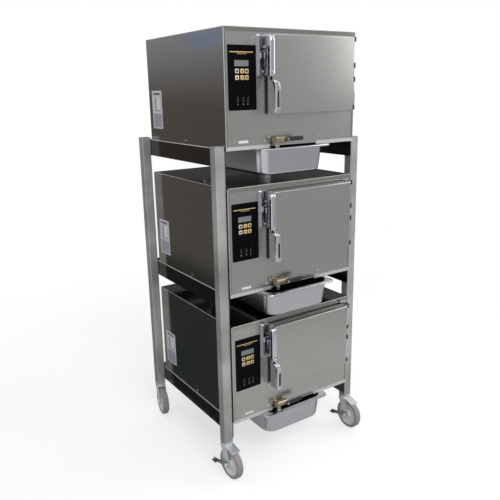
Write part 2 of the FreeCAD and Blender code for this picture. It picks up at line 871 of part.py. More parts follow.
def knuckle_levels(hinge):
    low = f"{hinge}_hinge_low"
    high = f"({hinge}_hinge_low + {hinge}_hinge_length)"
    return low, f"({low} + knuckle_share)", f"({high} - knuckle_share)", high


def cabinet_hinges(name):
    solids = []
    axis_y = f"({front} - hinge_out)"
    for hinge in ("bottom", "top"):
        low, lower_joint, upper_joint, high = knuckle_levels(hinge)
        outline = rectangle("cabinet_leaf_left", f"{side} - side_lip - seam_gap", low, high)
        leaf = prism(f"{name}_leaf", "XZ_Plane", f"{panel_face} - cabinet_leaf_gauge", outline,
                     "cabinet_leaf_gauge")
        soften(leaf, "leaf_round", along_y)
        pieces = [leaf]
        for bottom, top in ((low, lower_joint), (upper_joint, high)):
            pieces.append(block(f"{name}_web", ("hinge_x - barrel_radius", axis_y, bottom),
                                ("hinge_x + barrel_radius", f"{panel_face} - cabinet_leaf_gauge / 2", top)))
            pieces.append(rod(f"{name}_knuckle", "z", "barrel_radius", ("hinge_x", axis_y, bottom),
                              f"{top} - {bottom}"))
        bore = rod(f"{name}_bore", "z", "pin_radius", ("hinge_x", axis_y, f"{low} - leaf_round"),
                   f"{high} - {low} + 2 * leaf_round")
        solids.append(cut(f"{name}_{hinge}", join(f"{name}_{hinge}_casting", *pieces), bore))
        solids.append(rod(f"{name}_{hinge}_pin", "z", "pin_radius", ("hinge_x", axis_y, low),
                          f"{high} - {low}"))
    return solids


def drain_valve(name):
    body = rod(f"{name}_barrel", "x", "valve_radius", ("valve_left", valve_y, "valve_height"), "valve_length")
    ring = rod(f"{name}_ring", "x", "end_ring_radius",
               ("valve_left - end_ring_width / 2", valve_y, "valve_height"), "end_ring_width")
    inlet_end = f"({panel_face} - valve_panel_gap)"
    inlet = rod(f"{name}_inlet", "y", "inlet_radius", ("pipe_x", valve_y, "valve_height"),
                f"{inlet_end} - {valve_y}")
    spout = rod(f"{name}_spout", "z", "spout_radius", ("pipe_x", valve_y, "valve_height - spout_drop"),
                "spout_drop")
    stem_front = f"({valve_y} - bonnet_length - 2 * lever_gap - lever_gauge - stem_nut_height)"
    bonnet_front = f"({valve_y} - bonnet_length)"
    bonnet = rod(f"{name}_bonnet", "y", "bonnet_radius", ("stem_x", bonnet_front, "valve_height"),
                 "bonnet_length")
    stem = rod(f"{name}_stem", "y", "stem_radius", ("stem_x", stem_front, "valve_height"),
               f"{valve_y} - {stem_front}")
    solid = join(f"{name}_body", body, ring, inlet, spout, bonnet, stem)
    socket_start = f"({inlet_end} - pipe_insertion)"
    holes = [
        rod(f"{name}_socket", "y", "pipe_radius + pipe_clearance", ("pipe_x", socket_start, "valve_height"),
            f"{panel_face} - {socket_start}"),
        rod(f"{name}_inlet_bore", "y", "valve_bore", ("pipe_x", valve_y, "valve_height"),
            f"{panel_face} - {valve_y}"),
        rod(f"{name}_spout_bore", "z", "valve_bore", ("pipe_x", valve_y, "valve_height - 2 * spout_drop"),
            "2 * spout_drop"),
        rod(f"{name}_ring_recess", "x", "end_ring_recess",
            ("valve_left - end_ring_width", valve_y, "valve_height"), "end_ring_width"),
    ]
    nut = hexagon(f"{name}_nut", "y", "stem_nut_size", ("stem_x", stem_front, "valve_height"),
                  "stem_nut_height")
    nut_bore = rod(f"{name}_nut_bore", "y", "stem_radius",
                   ("stem_x", f"{stem_front} - stem_nut_height", "valve_height"), "3 * stem_nut_height")
    return [cut(name, solid, *holes), cut(f"{name}_lever_nut", nut, nut_bore)]


def pipe_run(name, radius, start_y, top):
    elbow = doc.addObject("Part::Sphere", f"{name}_elbow")
    bind(elbow, "Radius", radius)
    for axis, formula in zip("xyz", ("pipe_x", pipe_y, "valve_height")):
        bind(elbow, f"Placement.Base.{axis}", formula)
    level = rod(f"{name}_level", "y", radius, ("pipe_x", start_y, "valve_height"), f"{pipe_y} - {start_y}")
    riser = rod(f"{name}_riser", "z", radius, ("pipe_x", pipe_y, "valve_height"), f"{top} - valve_height")
    return join(name, elbow, level, riser)


def drain_pipe(name):
    end = f"({panel_face} - valve_panel_gap - pipe_insertion + pipe_clearance)"
    outside = pipe_run(f"{name}_outside", "pipe_radius", end, liner_bottom)
    bore = pipe_run(f"{name}_bore", "pipe_bore", f"({end} - pipe_insertion)", "cavity_floor")
    return [cut(name, outside, bore)]


def cable_gland(name):
    start = f"({back} - sheet_gauge - gland_nut_length)"
    collar_end = f"({back} + gland_collar_length)"
    dome_end = f"({collar_end} + gland_dome_length)"
    lock_nut = hexagon(f"{name}_lock_nut", "y", "2 * gland_nut_radius", ("gland_x", start, "gland_height"),
                       "gland_nut_length")
    thread = rod(f"{name}_thread", "y", "gland_radius", ("gland_x", start, "gland_height"),
                 f"{dome_end} - {start}")
    collar = hexagon(f"{name}_collar", "y", "2 * gland_nut_radius", ("gland_x", back, "gland_height"),
                     "gland_collar_length")
    dome = rod(f"{name}_dome", "y", "(gland_radius + gland_nut_radius) / 2",
               ("gland_x", collar_end, "gland_height"), "gland_dome_length")
    bore = rod(f"{name}_bore", "y", "gland_bore", ("gland_x", f"{start} - gland_nut_length", "gland_height"),
               f"{dome_end} - {start} + 2 * gland_nut_length")
    return [cut(name, join(f"{name}_body", lock_nut, thread, collar, dome), bore)]


def panel_screws(name):
    solids = []
    head_y = f"({panel_face} - screw_head_height)"
    for screw in front_screws:
        start = (f"{screw}_x", head_y, f"{screw}_z")
        head = rod(f"{name}_head", "y", "screw_head_radius", start, "screw_head_height")
        shank = rod(f"{name}_shank", "y", "screw_radius", start, "screw_length")
        solids.append(join(f"{name}_{screw}", head, shank))
    head_y = f"({panel_face} - strike_thickness - screw_head_height)"
    start = (strike_screw_x, head_y, "strike_screw_height")
    head = rod(f"{name}_strike_head", "y", "screw_head_radius", start, "screw_head_height")
    shank = rod(f"{name}_strike_shank", "y", "screw_radius", start, "strike_thickness + screw_length")
    solids.append(join(f"{name}_strike_screw", head, shank))
    for height in rivet_heights:
        solids.append(rod(f"{name}_rivet", "y", "rivet_radius",
                          ("rivet_x", f"{panel_face} - rivet_height", height), "rivet_height"))
    for x, head_x, shank_x in (("left", f"-{side} - screw_head_height", f"-{side} - screw_head_height"),
                               ("right", side, f"{side} + screw_head_height - screw_length")):
        head = rod(f"{name}_side_head", "x", "screw_head_radius", (head_x, "side_screw_y", "side_screw_z"),
                   "screw_head_height")
        shank = rod(f"{name}_side_shank", "x", "screw_radius", (shank_x, "side_screw_y", "side_screw_z"),
                    "screw_length")
        solids.append(join(f"{name}_{x}_side", head, shank))
    return solids


def pan_hangers(name):
    slides = []
    start = f"({front} + hanger_set_back)"
    stop = f"({front} - pan_seated_overhang + pan_depth + pan_stop_gap)"
    ledge = "(-pan_drop - rim_depth - pan_seat_gap)"
    for sign in ("-", "+"):
        web = f"{sign}(pan_width / 2 + hanger_side_gap)"
        web_outside = f"{sign}(pan_width / 2 + hanger_side_gap + hanger_gauge)"
        edge = f"{sign}(pan_width / 2 + hanger_side_gap - ledge_reach)"
        flange = f"{sign}(pan_width / 2 + hanger_side_gap + hanger_flange)"
        outline = [(edge, ledge), (web, ledge), (web, "0"), (flange, "0"), (flange, "-hanger_gauge"),
                   (web_outside, "-hanger_gauge"), (web_outside, f"{ledge} - hanger_gauge"),
                   (edge, f"{ledge} - hanger_gauge")]
        slide = prism(f"{name}_slide", "XZ_Plane", start, outline, f"{stop} + hanger_gauge - {start}")
        low_x, high_x = (web, edge) if sign == "-" else (edge, web)
        tab = block(f"{name}_stop", (low_x, stop, ledge), (high_x, f"{stop} + hanger_gauge", "-pan_drop"))
        slides.append(join(f"{name}_hanger", slide, tab))
    return slides


# Pieces of a door, from its hinge axis

def door_shell(name):
    outline = rectangle(door_left, door_right, "door_bottom", door_top)
    skin = prism(f"{name}_skin", "XZ_Plane", door_front, outline, "door_thickness")
    soften(skin, "door_round", front_edge)
    hollow = block(f"{name}_hollow",
                   (f"{door_left} + door_gauge", f"{door_front} + door_gauge", "door_bottom + door_gauge"),
                   (f"{door_right} - door_gauge", f"{door_back} + door_gauge", f"{door_top} - door_gauge"))
    return [cut(f"{name}_panel", skin, hollow)]


def door_liner(name):
    edge = "(door_gauge + seam_gap)"
    sheet_metal = block(f"{name}_sheet",
                        (f"{door_left} + {edge}", f"{door_back} - door_gauge", f"door_bottom + {edge}"),
                        (f"{door_right} - {edge}", door_back, f"{door_top} - {edge}"))
    outline = rectangle(f"{door_cavity_left} + liner_margin", f"{door_cavity_right} - liner_margin",
                        "cavity_floor + liner_margin", f"{cavity_top} - liner_margin")
    raised = prism(f"{name}_raised", "XZ_Plane", door_back, outline, "liner_raise")
    soften(raised, "liner_round", along_y)
    return [join(f"{name}_pressing", sheet_metal, raised)]


def door_gasket(name):
    depth = f"{door_panel_face} - gasket_clearance - {door_back}"
    rings = []
    for part, margin, extra in (("outside", "(gasket_margin + gasket_width)", "0"),
                                ("inside", "gasket_margin", "gasket_width")):
        outline = rectangle(f"{door_cavity_left} - {margin}", f"{door_cavity_right} + {margin}",
                            f"cavity_floor - {margin}", f"{cavity_top} + {margin}")
        length = f"{depth} + 2 * {extra}"
        ring = prism(f"{name}_{part}", "XZ_Plane", f"{door_back} - {extra}", outline, length)
        rings.append(soften(ring, f"gasket_round - {extra} / 2", along_y))
    return [cut(f"{name}_ring", *rings)]


def door_hinge_leaf(name):
    solids = []
    for hinge in ("bottom", "top"):
        low, lower_joint, upper_joint, high = knuckle_levels(hinge)
        outline = rectangle("-door_leaf_front", "door_leaf_back", low, high)
        leaf = prism(f"{name}_leaf", "YZ_Plane", door_right, outline, "door_leaf_gauge")
        soften(leaf, "leaf_round", along_x)
        bottom, top = f"({lower_joint} + knuckle_gap)", f"({upper_joint} - knuckle_gap)"
        web = block(f"{name}_web", (door_right, "-barrel_radius", bottom), ("0", "barrel_radius", top))
        knuckle = rod(f"{name}_knuckle", "z", "barrel_radius", ("0", "0", bottom), f"{top} - {bottom}")
        bore = rod(f"{name}_bore", "z", "pin_radius + pin_clearance", ("0", "0", low), f"{high} - {low}")
        solids.append(cut(f"{name}_{hinge}", join(f"{name}_{hinge}_casting", leaf, web, knuckle), bore))
    return solids


def latch_body(name):
    left = f"({door_left} - latch_width)"
    outline = rectangle(left, door_left, "latch_bottom", "latch_bottom + latch_height")
    housing = prism(f"{name}_housing", "XZ_Plane", latch_front, outline, "latch_depth")
    soften(housing, "latch_top_round", top_along_y)
    slot = block(f"{name}_slot",
                 (f"{latch_x} - latch_slot_width / 2", f"{latch_front} + latch_wall",
                  "latch_bottom - latch_wall"),
                 (f"{latch_x} + latch_slot_width / 2", f"{latch_back} + latch_wall",
                  "latch_bottom + latch_slot_height"))
    hole = rod(f"{name}_hole", "y", "latch_hole_radius",
               (latch_x, f"{latch_front} - latch_wall", "latch_hole_height"), "3 * latch_wall")
    nose = block(f"{name}_nose", (f"{latch_x} - nose_width / 2", latch_back, "nose_bottom"),
                 (f"{latch_x} + nose_width / 2", nose_end, nose_top))
    pin = rod(f"{name}_pin", "x", "pivot_radius", (left, pivot_y, "pivot_height"), "latch_width")
    return [join(f"{name}_casting", cut(f"{name}_slotted", housing, slot, hole), nose, pin)]


def latch_handle(name):
    arm_outline = rectangle(f"{latch_x} - root_width / 2", f"{latch_x} + root_width / 2",
                            f"{pivot_y} - root_depth / 2", f"{pivot_y} + root_depth / 2")
    neck_top = "(pivot_height - neck_under_pivot)"
    arm = prism(f"{name}_root", "XY_Plane", neck_top, arm_outline, "neck_under_pivot + root_over_pivot")
    grip_y = f"({door_front} - grip_out)"
    root_y = f"({pivot_y} - root_depth / 2 + neck_depth / 2)"
    sections = []
    for fallen, out, aside in neck_bend:
        x = f"({latch_x} + {aside} * ({door_left} - {latch_x}))"
        y = f"({root_y} + {out} * ({grip_y} - {root_y}))"
        half_width = f"(root_width + {aside} * (grip_width - root_width)) / 2"
        half_depth = f"(neck_depth + {out} * (grip_depth - neck_depth)) / 2"
        outline = rectangle(f"{x} - {half_width}", f"{x} + {half_width}", f"{y} - {half_depth}",
                            f"{y} + {half_depth}")
        sections.append((f"{neck_top} - {fallen} * ({neck_top} - grip_top)", outline))
    swan = lofted(f"{name}_neck", sections)
    grip = rectangle(f"{door_left} - grip_width / 2", f"{door_left} + grip_width / 2",
                     f"{grip_y} - grip_depth / 2", f"{grip_y} + grip_depth / 2")
    bar = prism(f"{name}_bar", "XY_Plane", "grip_top - grip_length", grip, "grip_length")
    soften(bar, "grip_round", upright)
    groove_x = f"({door_left} + groove_side)"
    low = (f"{groove_x} - groove_width / 2", f"{grip_y} - grip_depth", "groove_bottom")
    high = (f"{groove_x} + groove_width / 2", f"{grip_y} - grip_depth / 2 + groove_depth",
            "groove_bottom + groove_height")
    groove = block(f"{name}_groove", low, high)
    bore = rod(f"{name}_bore", "x", "pivot_radius + pivot_clearance",
               (f"{door_left} - latch_width", pivot_y, "pivot_height"), "latch_width")
    return [cut(f"{name}_lever", join(f"{name}_blank", arm, swan, bar), groove, bore)]


# A drain lever and a drip pan, in a steamer's frame

def drain_lever(name):
    lever_back = f"({valve_y} - bonnet_length - lever_gap)"
    outline = rectangle("stem_x - lever_tail", "stem_x + lever_reach", "valve_height - lever_height / 2",
                        "valve_height + lever_height / 2")
    blade = prism(f"{name}_blade", "XZ_Plane", f"{lever_back} - lever_gauge", outline, "lever_gauge")
    soften(blade, "lever_round", along_y)
    bore = rod(f"{name}_bore", "y", "stem_radius + stem_clearance",
               ("stem_x", f"{lever_back} - 2 * lever_gauge", "valve_height"), "3 * lever_gauge")
    return [cut(f"{name}_handle", blade, bore)]


# The tub of a pan, which narrows downwards, with every face moved in by the given wall.
def pan_tub(name, wall, top, bottom):
    half = f"(pan_width / 2 - wall_set_in - {wall})"
    outline = rectangle(f"-{half}", half, f"wall_set_in + {wall}", f"pan_depth - wall_set_in - {wall}")
    tub = prism(name, "XY_Plane", top, outline, f"{top} - ({bottom})", "-wall_taper")
    tub.Tip.Reversed = True
    soften(tub, f"wall_round - {wall}", upright)
    return soften(tub, f"pan_foot_round - {wall}", at_foot)


def drip_pan(name):
    rim_top = "(-pan_drop)"
    foot = "(-pan_drop - pan_height)"
    half = "(pan_width / 2)"
    rim_outline = rectangle(f"-{half}", half, "0", "pan_depth")
    rim = prism(f"{name}_rim", "XY_Plane", f"{rim_top} - rim_depth", rim_outline, "rim_depth")
    soften(rim, "rim_round", upright)
    under = prism(f"{name}_under", "XY_Plane", f"{rim_top} - 2 * rim_depth",
                  rectangle(f"-{half} + rim_edge_gauge", f"{half} - rim_edge_gauge", "rim_edge_gauge",
                            "pan_depth - rim_edge_gauge"), "2 * rim_depth - pan_gauge")
    soften(under, "rim_round - rim_edge_gauge", upright)
    outside = pan_tub(f"{name}_outside", "0", f"{rim_top} - pan_gauge / 2", foot)
    inside = pan_tub(f"{name}_inside", "pan_gauge", f"{rim_top}", f"{foot} + pan_gauge")
    flange = cut(f"{name}_flange", rim, under)
    return [cut(f"{name}_pressing", join(f"{name}_blank", flange, outside), inside)]


# Pieces of a caster, from its swivel axis

def caster_fork(name, braked):
    half = fork_outside
    crown = prism(f"{name}_crown", "XY_Plane", "crown_bottom",
                  rectangle(f"-{half}", half, "-fork_front", "fork_back"), "crown_gauge")
    raceway = rod(f"{name}_raceway", "z", "raceway_radius", ("0", "0", crown_top), raceway_rise)
    outline = [("-fork_front", crown_top), ("fork_back", crown_top),
               ("-caster_trail + fork_foot", f"{axle_level} - fork_foot"),
               ("-caster_trail - fork_foot", f"{axle_level} - fork_foot")]
    legs = []
    for start in (f"-{fork_outside}", fork_inside):
        leg = prism(f"{name}_leg", "YZ_Plane", start, outline, "fork_gauge")
        legs.append(soften(leg, "fork_round", foot_along_x))
    swivel_bore = rod(f"{name}_swivel_bore", "z", "kingpin_radius + kingpin_clearance",
                      ("0", "0", "crown_bottom - crown_gauge"), f"3 * crown_gauge + {raceway_rise}")
    axle_hole = rod(f"{name}_axle_hole", "x", "axle_radius", (f"-{half}", "-caster_trail", axle_level),
                    f"2 * {half}")
    left_end = f"({pedal_outside} + pedal_side_gap)" if braked else fork_outside
    axle_y = "-caster_trail"
    pieces = [
        rod(f"{name}_axle", "x", "axle_radius", (f"-{left_end}", axle_y, axle_level), f"{left_end} + {half}"),
        rod(f"{name}_axle_head", "x", "axle_head_radius",
            (f"-{left_end} - axle_head_length", axle_y, axle_level), "axle_head_length"),
        rod(f"{name}_axle_nut", "x", "axle_head_radius", (half, axle_y, axle_level), "axle_head_length"),
    ]
    top = [crown, raceway]
    if braked:
        pieces.append(rod(f"{name}_spacer", "x", "spacer_radius",
                          (f"-{pedal_inside} + pedal_side_gap", axle_y, axle_level),
                          "pedal_gap - pedal_side_gap"))
        hood_outline = [("-fork_front", "crown_bottom"), ("-fork_front", crown_top),
                        ("-hood_reach", f"{crown_top} - hood_fall"),
                        ("-hood_reach", "crown_bottom - hood_fall")]
        top.append(prism(f"{name}_hood", "YZ_Plane", f"-{fork_outside}", hood_outline, f"2 * {fork_outside}"))
    return [cut(f"{name}_pressing", join(f"{name}_blank", *top, *legs), swivel_bore, axle_hole),
            join(f"{name}_axle_bolt", *pieces)]


def wheel_hub(name):
    bore = "(axle_radius + axle_clearance)"
    right = [("hub_half_width", bore), ("hub_half_width", "hub_boss_radius"),
             ("hub_web_half", "hub_web_inner"), ("hub_web_half", "hub_web_outer"),
             ("hub_rim_half", "hub_rim_inner"), ("hub_rim_half", "tyre_inner")]
    left = [(f"-{x}", radius) for x, radius in reversed(right)]
    return [turned(f"{name}_moulding", "-caster_trail", axle_level, right + left)]


def tyre(name):
    outline = rectangle("-wheel_width / 2", "wheel_width / 2", "tyre_inner", "wheel_radius")
    ring = turned(f"{name}_ring", "-caster_trail", axle_level, outline)
    return [soften(ring, "tyre_round", around_tread)]


def brake_pedal(name):
    arm_outline = [("-caster_trail", f"{axle_level} + pedal_eye_radius"),
                   ("pedal_reach - caster_trail", "pedal_foot + 2 * pedal_tab_gauge"),
                   ("pedal_reach - caster_trail", "pedal_foot"),
                   ("pedal_reach - caster_trail - pedal_tab_length", "pedal_foot"),
                   ("-caster_trail", f"{axle_level} - pedal_eye_radius")]
    arm = prism(f"{name}_arm", "YZ_Plane", f"-{pedal_outside}", arm_outline, "pedal_gauge")
    eye = rod(f"{name}_eye", "x", "pedal_eye_radius", (f"-{pedal_outside}", "-caster_trail", axle_level),
              "pedal_gauge")
    tab_front = "(pedal_reach - caster_trail - pedal_tab_length)"
    tab = block(f"{name}_tab", (f"-{pedal_outside} - pedal_tab_width", tab_front, "pedal_foot"),
                (f"-{pedal_inside}", "pedal_reach - caster_trail", "pedal_foot + pedal_tab_gauge"))
    bore = rod(f"{name}_bore", "x", "axle_radius + axle_clearance",
               (f"-{pedal_outside} - pedal_gauge", "-caster_trail", axle_level), "3 * pedal_gauge")
    return [cut(f"{name}_lever", join(f"{name}_blank", arm, eye, tab), bore)]


nodes = []


def finish_node(name, solids, x="0", y="steamer_shift", z="0", turn="0"):
    node = group(name, *solids)
    place(node, x, y, z, turn)
    nodes.append(node)


finish_node("stand_posts", stand_posts())
finish_node("post_caps", post_caps())
finish_node("stand_rails", stand_rails())
finish_node("caster_stems", caster_stems())

fixed_pieces = (cabinet_wrapper, front_panel, rear_panel, base_pan, cooking_cavity, cavity_insulation,
                heat_plate, pan_racks, control_overlay, display_window, control_electronics, latch_strike,
                cabinet_hinges, drain_valve, drain_pipe, cable_gland, panel_screws, pan_hangers)
for make in fixed_pieces:
    levels = []
    for level in steamers:
        name = f"{level}_{make.__name__}"
        levels.append(place(group(f"{name}_set", *make(name)), "0", "0", f"{level}_deck"))
    finish_node(make.__name__, levels)

for level in steamers:
    for make in (door_shell, door_liner, door_gasket, door_hinge_leaf, latch_body, latch_handle):
        name = f"{make.__name__}_{level}"
        finish_node(name, make(f"{name}_part"), "hinge_x", f"steamer_shift + {front} - hinge_out",
                    f"{level}_deck")
    name = f"drain_lever_{level}"
    finish_node(name, drain_lever(f"{name}_part"), z=f"{level}_deck")
    name = f"drip_pan_{level}"
    pan_front = f"steamer_shift + {front} - pan_seated_overhang - {level}_pan_out"
    finish_node(name, drip_pan(f"{name}_part"), y=pan_front, z=f"{level}_deck")

for corner, (x, y) in post_places.items():
    spot = (x, f"steamer_shift + {y}", "0", f"{corner}_turn")
    braked = corner in ("fl", "fr")
    finish_node(f"caster_fork_{corner}", caster_fork(f"fork_{corner}", braked), *spot)
    finish_node(f"wheel_hub_{corner}", wheel_hub(f"hub_{corner}"), *spot)
    finish_node(f"tyre_{corner}", tyre(f"tyre_{corner}_part"), *spot)
    if braked:
        finish_node(f"brake_pedal_{corner}", brake_pedal(f"pedal_{corner}"), *spot)

doc.recompute()

for item in doc.Objects:
    if "Invalid" in item.State or "Error" in item.State:
        raise RuntimeError(f"{item.Label} failed: {item.State}")
for node in nodes:
    if node.Shape.isNull() or not node.Shape.isValid():
        raise RuntimeError(f"{node.Label} has no valid shape")

os.makedirs("parts", exist_ok=True)
for node in nodes:
    node.Shape.exportStep(f"parts/{node.Label}.step")
print(len(nodes), "nodes with", sum(len(node.Shape.Solids) for node in nodes), "solids")
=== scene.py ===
import bmesh
import bpy
import json
import math
from mathutils import Matrix, Vector


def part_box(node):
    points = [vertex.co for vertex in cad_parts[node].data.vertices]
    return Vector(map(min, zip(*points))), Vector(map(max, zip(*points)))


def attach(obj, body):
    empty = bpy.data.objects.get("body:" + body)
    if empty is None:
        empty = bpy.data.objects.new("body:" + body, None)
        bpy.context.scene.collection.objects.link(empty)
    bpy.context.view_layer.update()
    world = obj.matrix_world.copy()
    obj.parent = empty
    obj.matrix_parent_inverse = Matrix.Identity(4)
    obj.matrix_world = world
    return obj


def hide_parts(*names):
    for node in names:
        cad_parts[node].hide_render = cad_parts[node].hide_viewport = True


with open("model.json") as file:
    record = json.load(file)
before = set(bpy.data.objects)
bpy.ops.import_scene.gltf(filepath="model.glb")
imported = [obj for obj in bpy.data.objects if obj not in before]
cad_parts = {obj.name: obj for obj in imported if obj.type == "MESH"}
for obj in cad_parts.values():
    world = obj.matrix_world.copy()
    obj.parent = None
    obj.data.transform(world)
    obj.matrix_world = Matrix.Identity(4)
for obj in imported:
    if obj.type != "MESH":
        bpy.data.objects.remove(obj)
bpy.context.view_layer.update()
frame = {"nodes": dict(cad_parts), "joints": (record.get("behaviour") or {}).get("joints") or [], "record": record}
scene = bpy.context.scene
mm = 0.001
mainBody = "stand_and_cabinets"

# How high each steamer stands, in millimetres, and which way the fronts face: -y.
levels = {"lower": 234, "middle": 761, "upper": 1303}
cabinet = {"left": -297, "panel": -293, "overlay": -294.2, "hinge": (266, -320), "back": 310.5}


def linear(hexColour):
    channels = [int(hexColour[i:i + 2], 16) / 255 for i in (1, 3, 5)]
    return [c / 12.92 if c <= 0.04045 else ((c + 0.055) / 1.055) ** 2.4 for c in channels] + [1]


def addNode(tree, kind, settings=None, links=None):
    node = tree.nodes.new(kind)
    for key, value in (settings or {}).items():
        if isinstance(key, int) or key in node.inputs:
            node.inputs[key].default_value = value
        else:
            setattr(node, key, value)
    for key, source in (links or {}).items():
        tree.links.new(source, node.inputs[key])
    return node


def startMaterial(name):
    material = bpy.data.materials.new(name)
    material.use_nodes = True
    tree = material.node_tree
    tree.nodes.clear()
    return material, tree


def closeMaterial(tree, shader):
    addNode(tree, "ShaderNodeOutputMaterial", links={"Surface": shader.outputs[0]})


# Every metal and plastic is a base colour that drifts to a second one, with a grain of its own
# scale and direction that also moves the roughness and the bump.
def grainMaterial(name, look):
    material, tree = startMaterial(name)
    place = addNode(tree, "ShaderNodeTexCoord").outputs["Object"]
    if "turn" in look:
        place = addNode(tree, "ShaderNodeMapping", {"Rotation": look["turn"]},
                        {"Vector": place}).outputs[0]
    along = addNode(tree, "ShaderNodeMapping", {"Scale": look["grain"]},
                    {"Vector": place}).outputs[0]
    streak = addNode(tree, "ShaderNodeTexNoise",
                     {"Scale": 1, "Detail": look.get("grainDetail", 2), "Roughness": 0.6},
                     {"Vector": along}).outputs[0]
    cloud = addNode(tree, "ShaderNodeTexNoise", {"Scale": look["cloud"], "Detail": 3},
                    {"Vector": place}).outputs[0]
    drift = addNode(tree, "ShaderNodeMath", {"operation": "MULTIPLY", 1: look["streakShare"]},
                    {0: streak}).outputs[0]
    drift = addNode(tree, "ShaderNodeMath", {"operation": "MULTIPLY_ADD", 1: look["cloudShare"]},
                    {0: cloud, 2: drift}).outputs[0]
    colour = addNode(tree, "ShaderNodeMix",
                     {"data_type": "RGBA", 6: linear(look["colour"]), 7: linear(look["drift"])},
                     {0: drift}).outputs[2]
    # A look's under colour is laid on the faces that look down: painted shade.
    if "under" in look:
        facing = addNode(tree, "ShaderNodeSeparateXYZ", links={
            0: addNode(tree, "ShaderNodeNewGeometry").outputs["Normal"]}).outputs["Z"]
        down = addNode(tree, "ShaderNodeMapRange",
                       {"From Min": -0.4, "From Max": -0.8, "To Min": 0, "To Max": 1},
                       {"Value": facing}).outputs[0]
        colour = addNode(tree, "ShaderNodeMix", {"data_type": "RGBA", 7: linear(look["under"])},
                         {0: down, 6: colour}).outputs[2]
    rough = addNode(tree, "ShaderNodeMapRange",
                    {"From Min": 0.3, "From Max": 0.7, "To Min": look["rough"][0],
                     "To Max": look["rough"][1]}, {"Value": streak}).outputs[0]
    bump = addNode(tree, "ShaderNodeBump",
                   {"Strength": look["bump"], "Distance": look.get("bumpDepth", 0.1) * mm},
                   {"Height": streak}).outputs[0]
    shader = addNode(tree, "ShaderNodeBsdfPrincipled",
                     {"Metallic": look.get("metallic", 1.0), **look.get("shader", {})},
                     {"Base Color": colour, "Roughness": rough, "Normal": bump})
    closeMaterial(tree, shader)
    return material


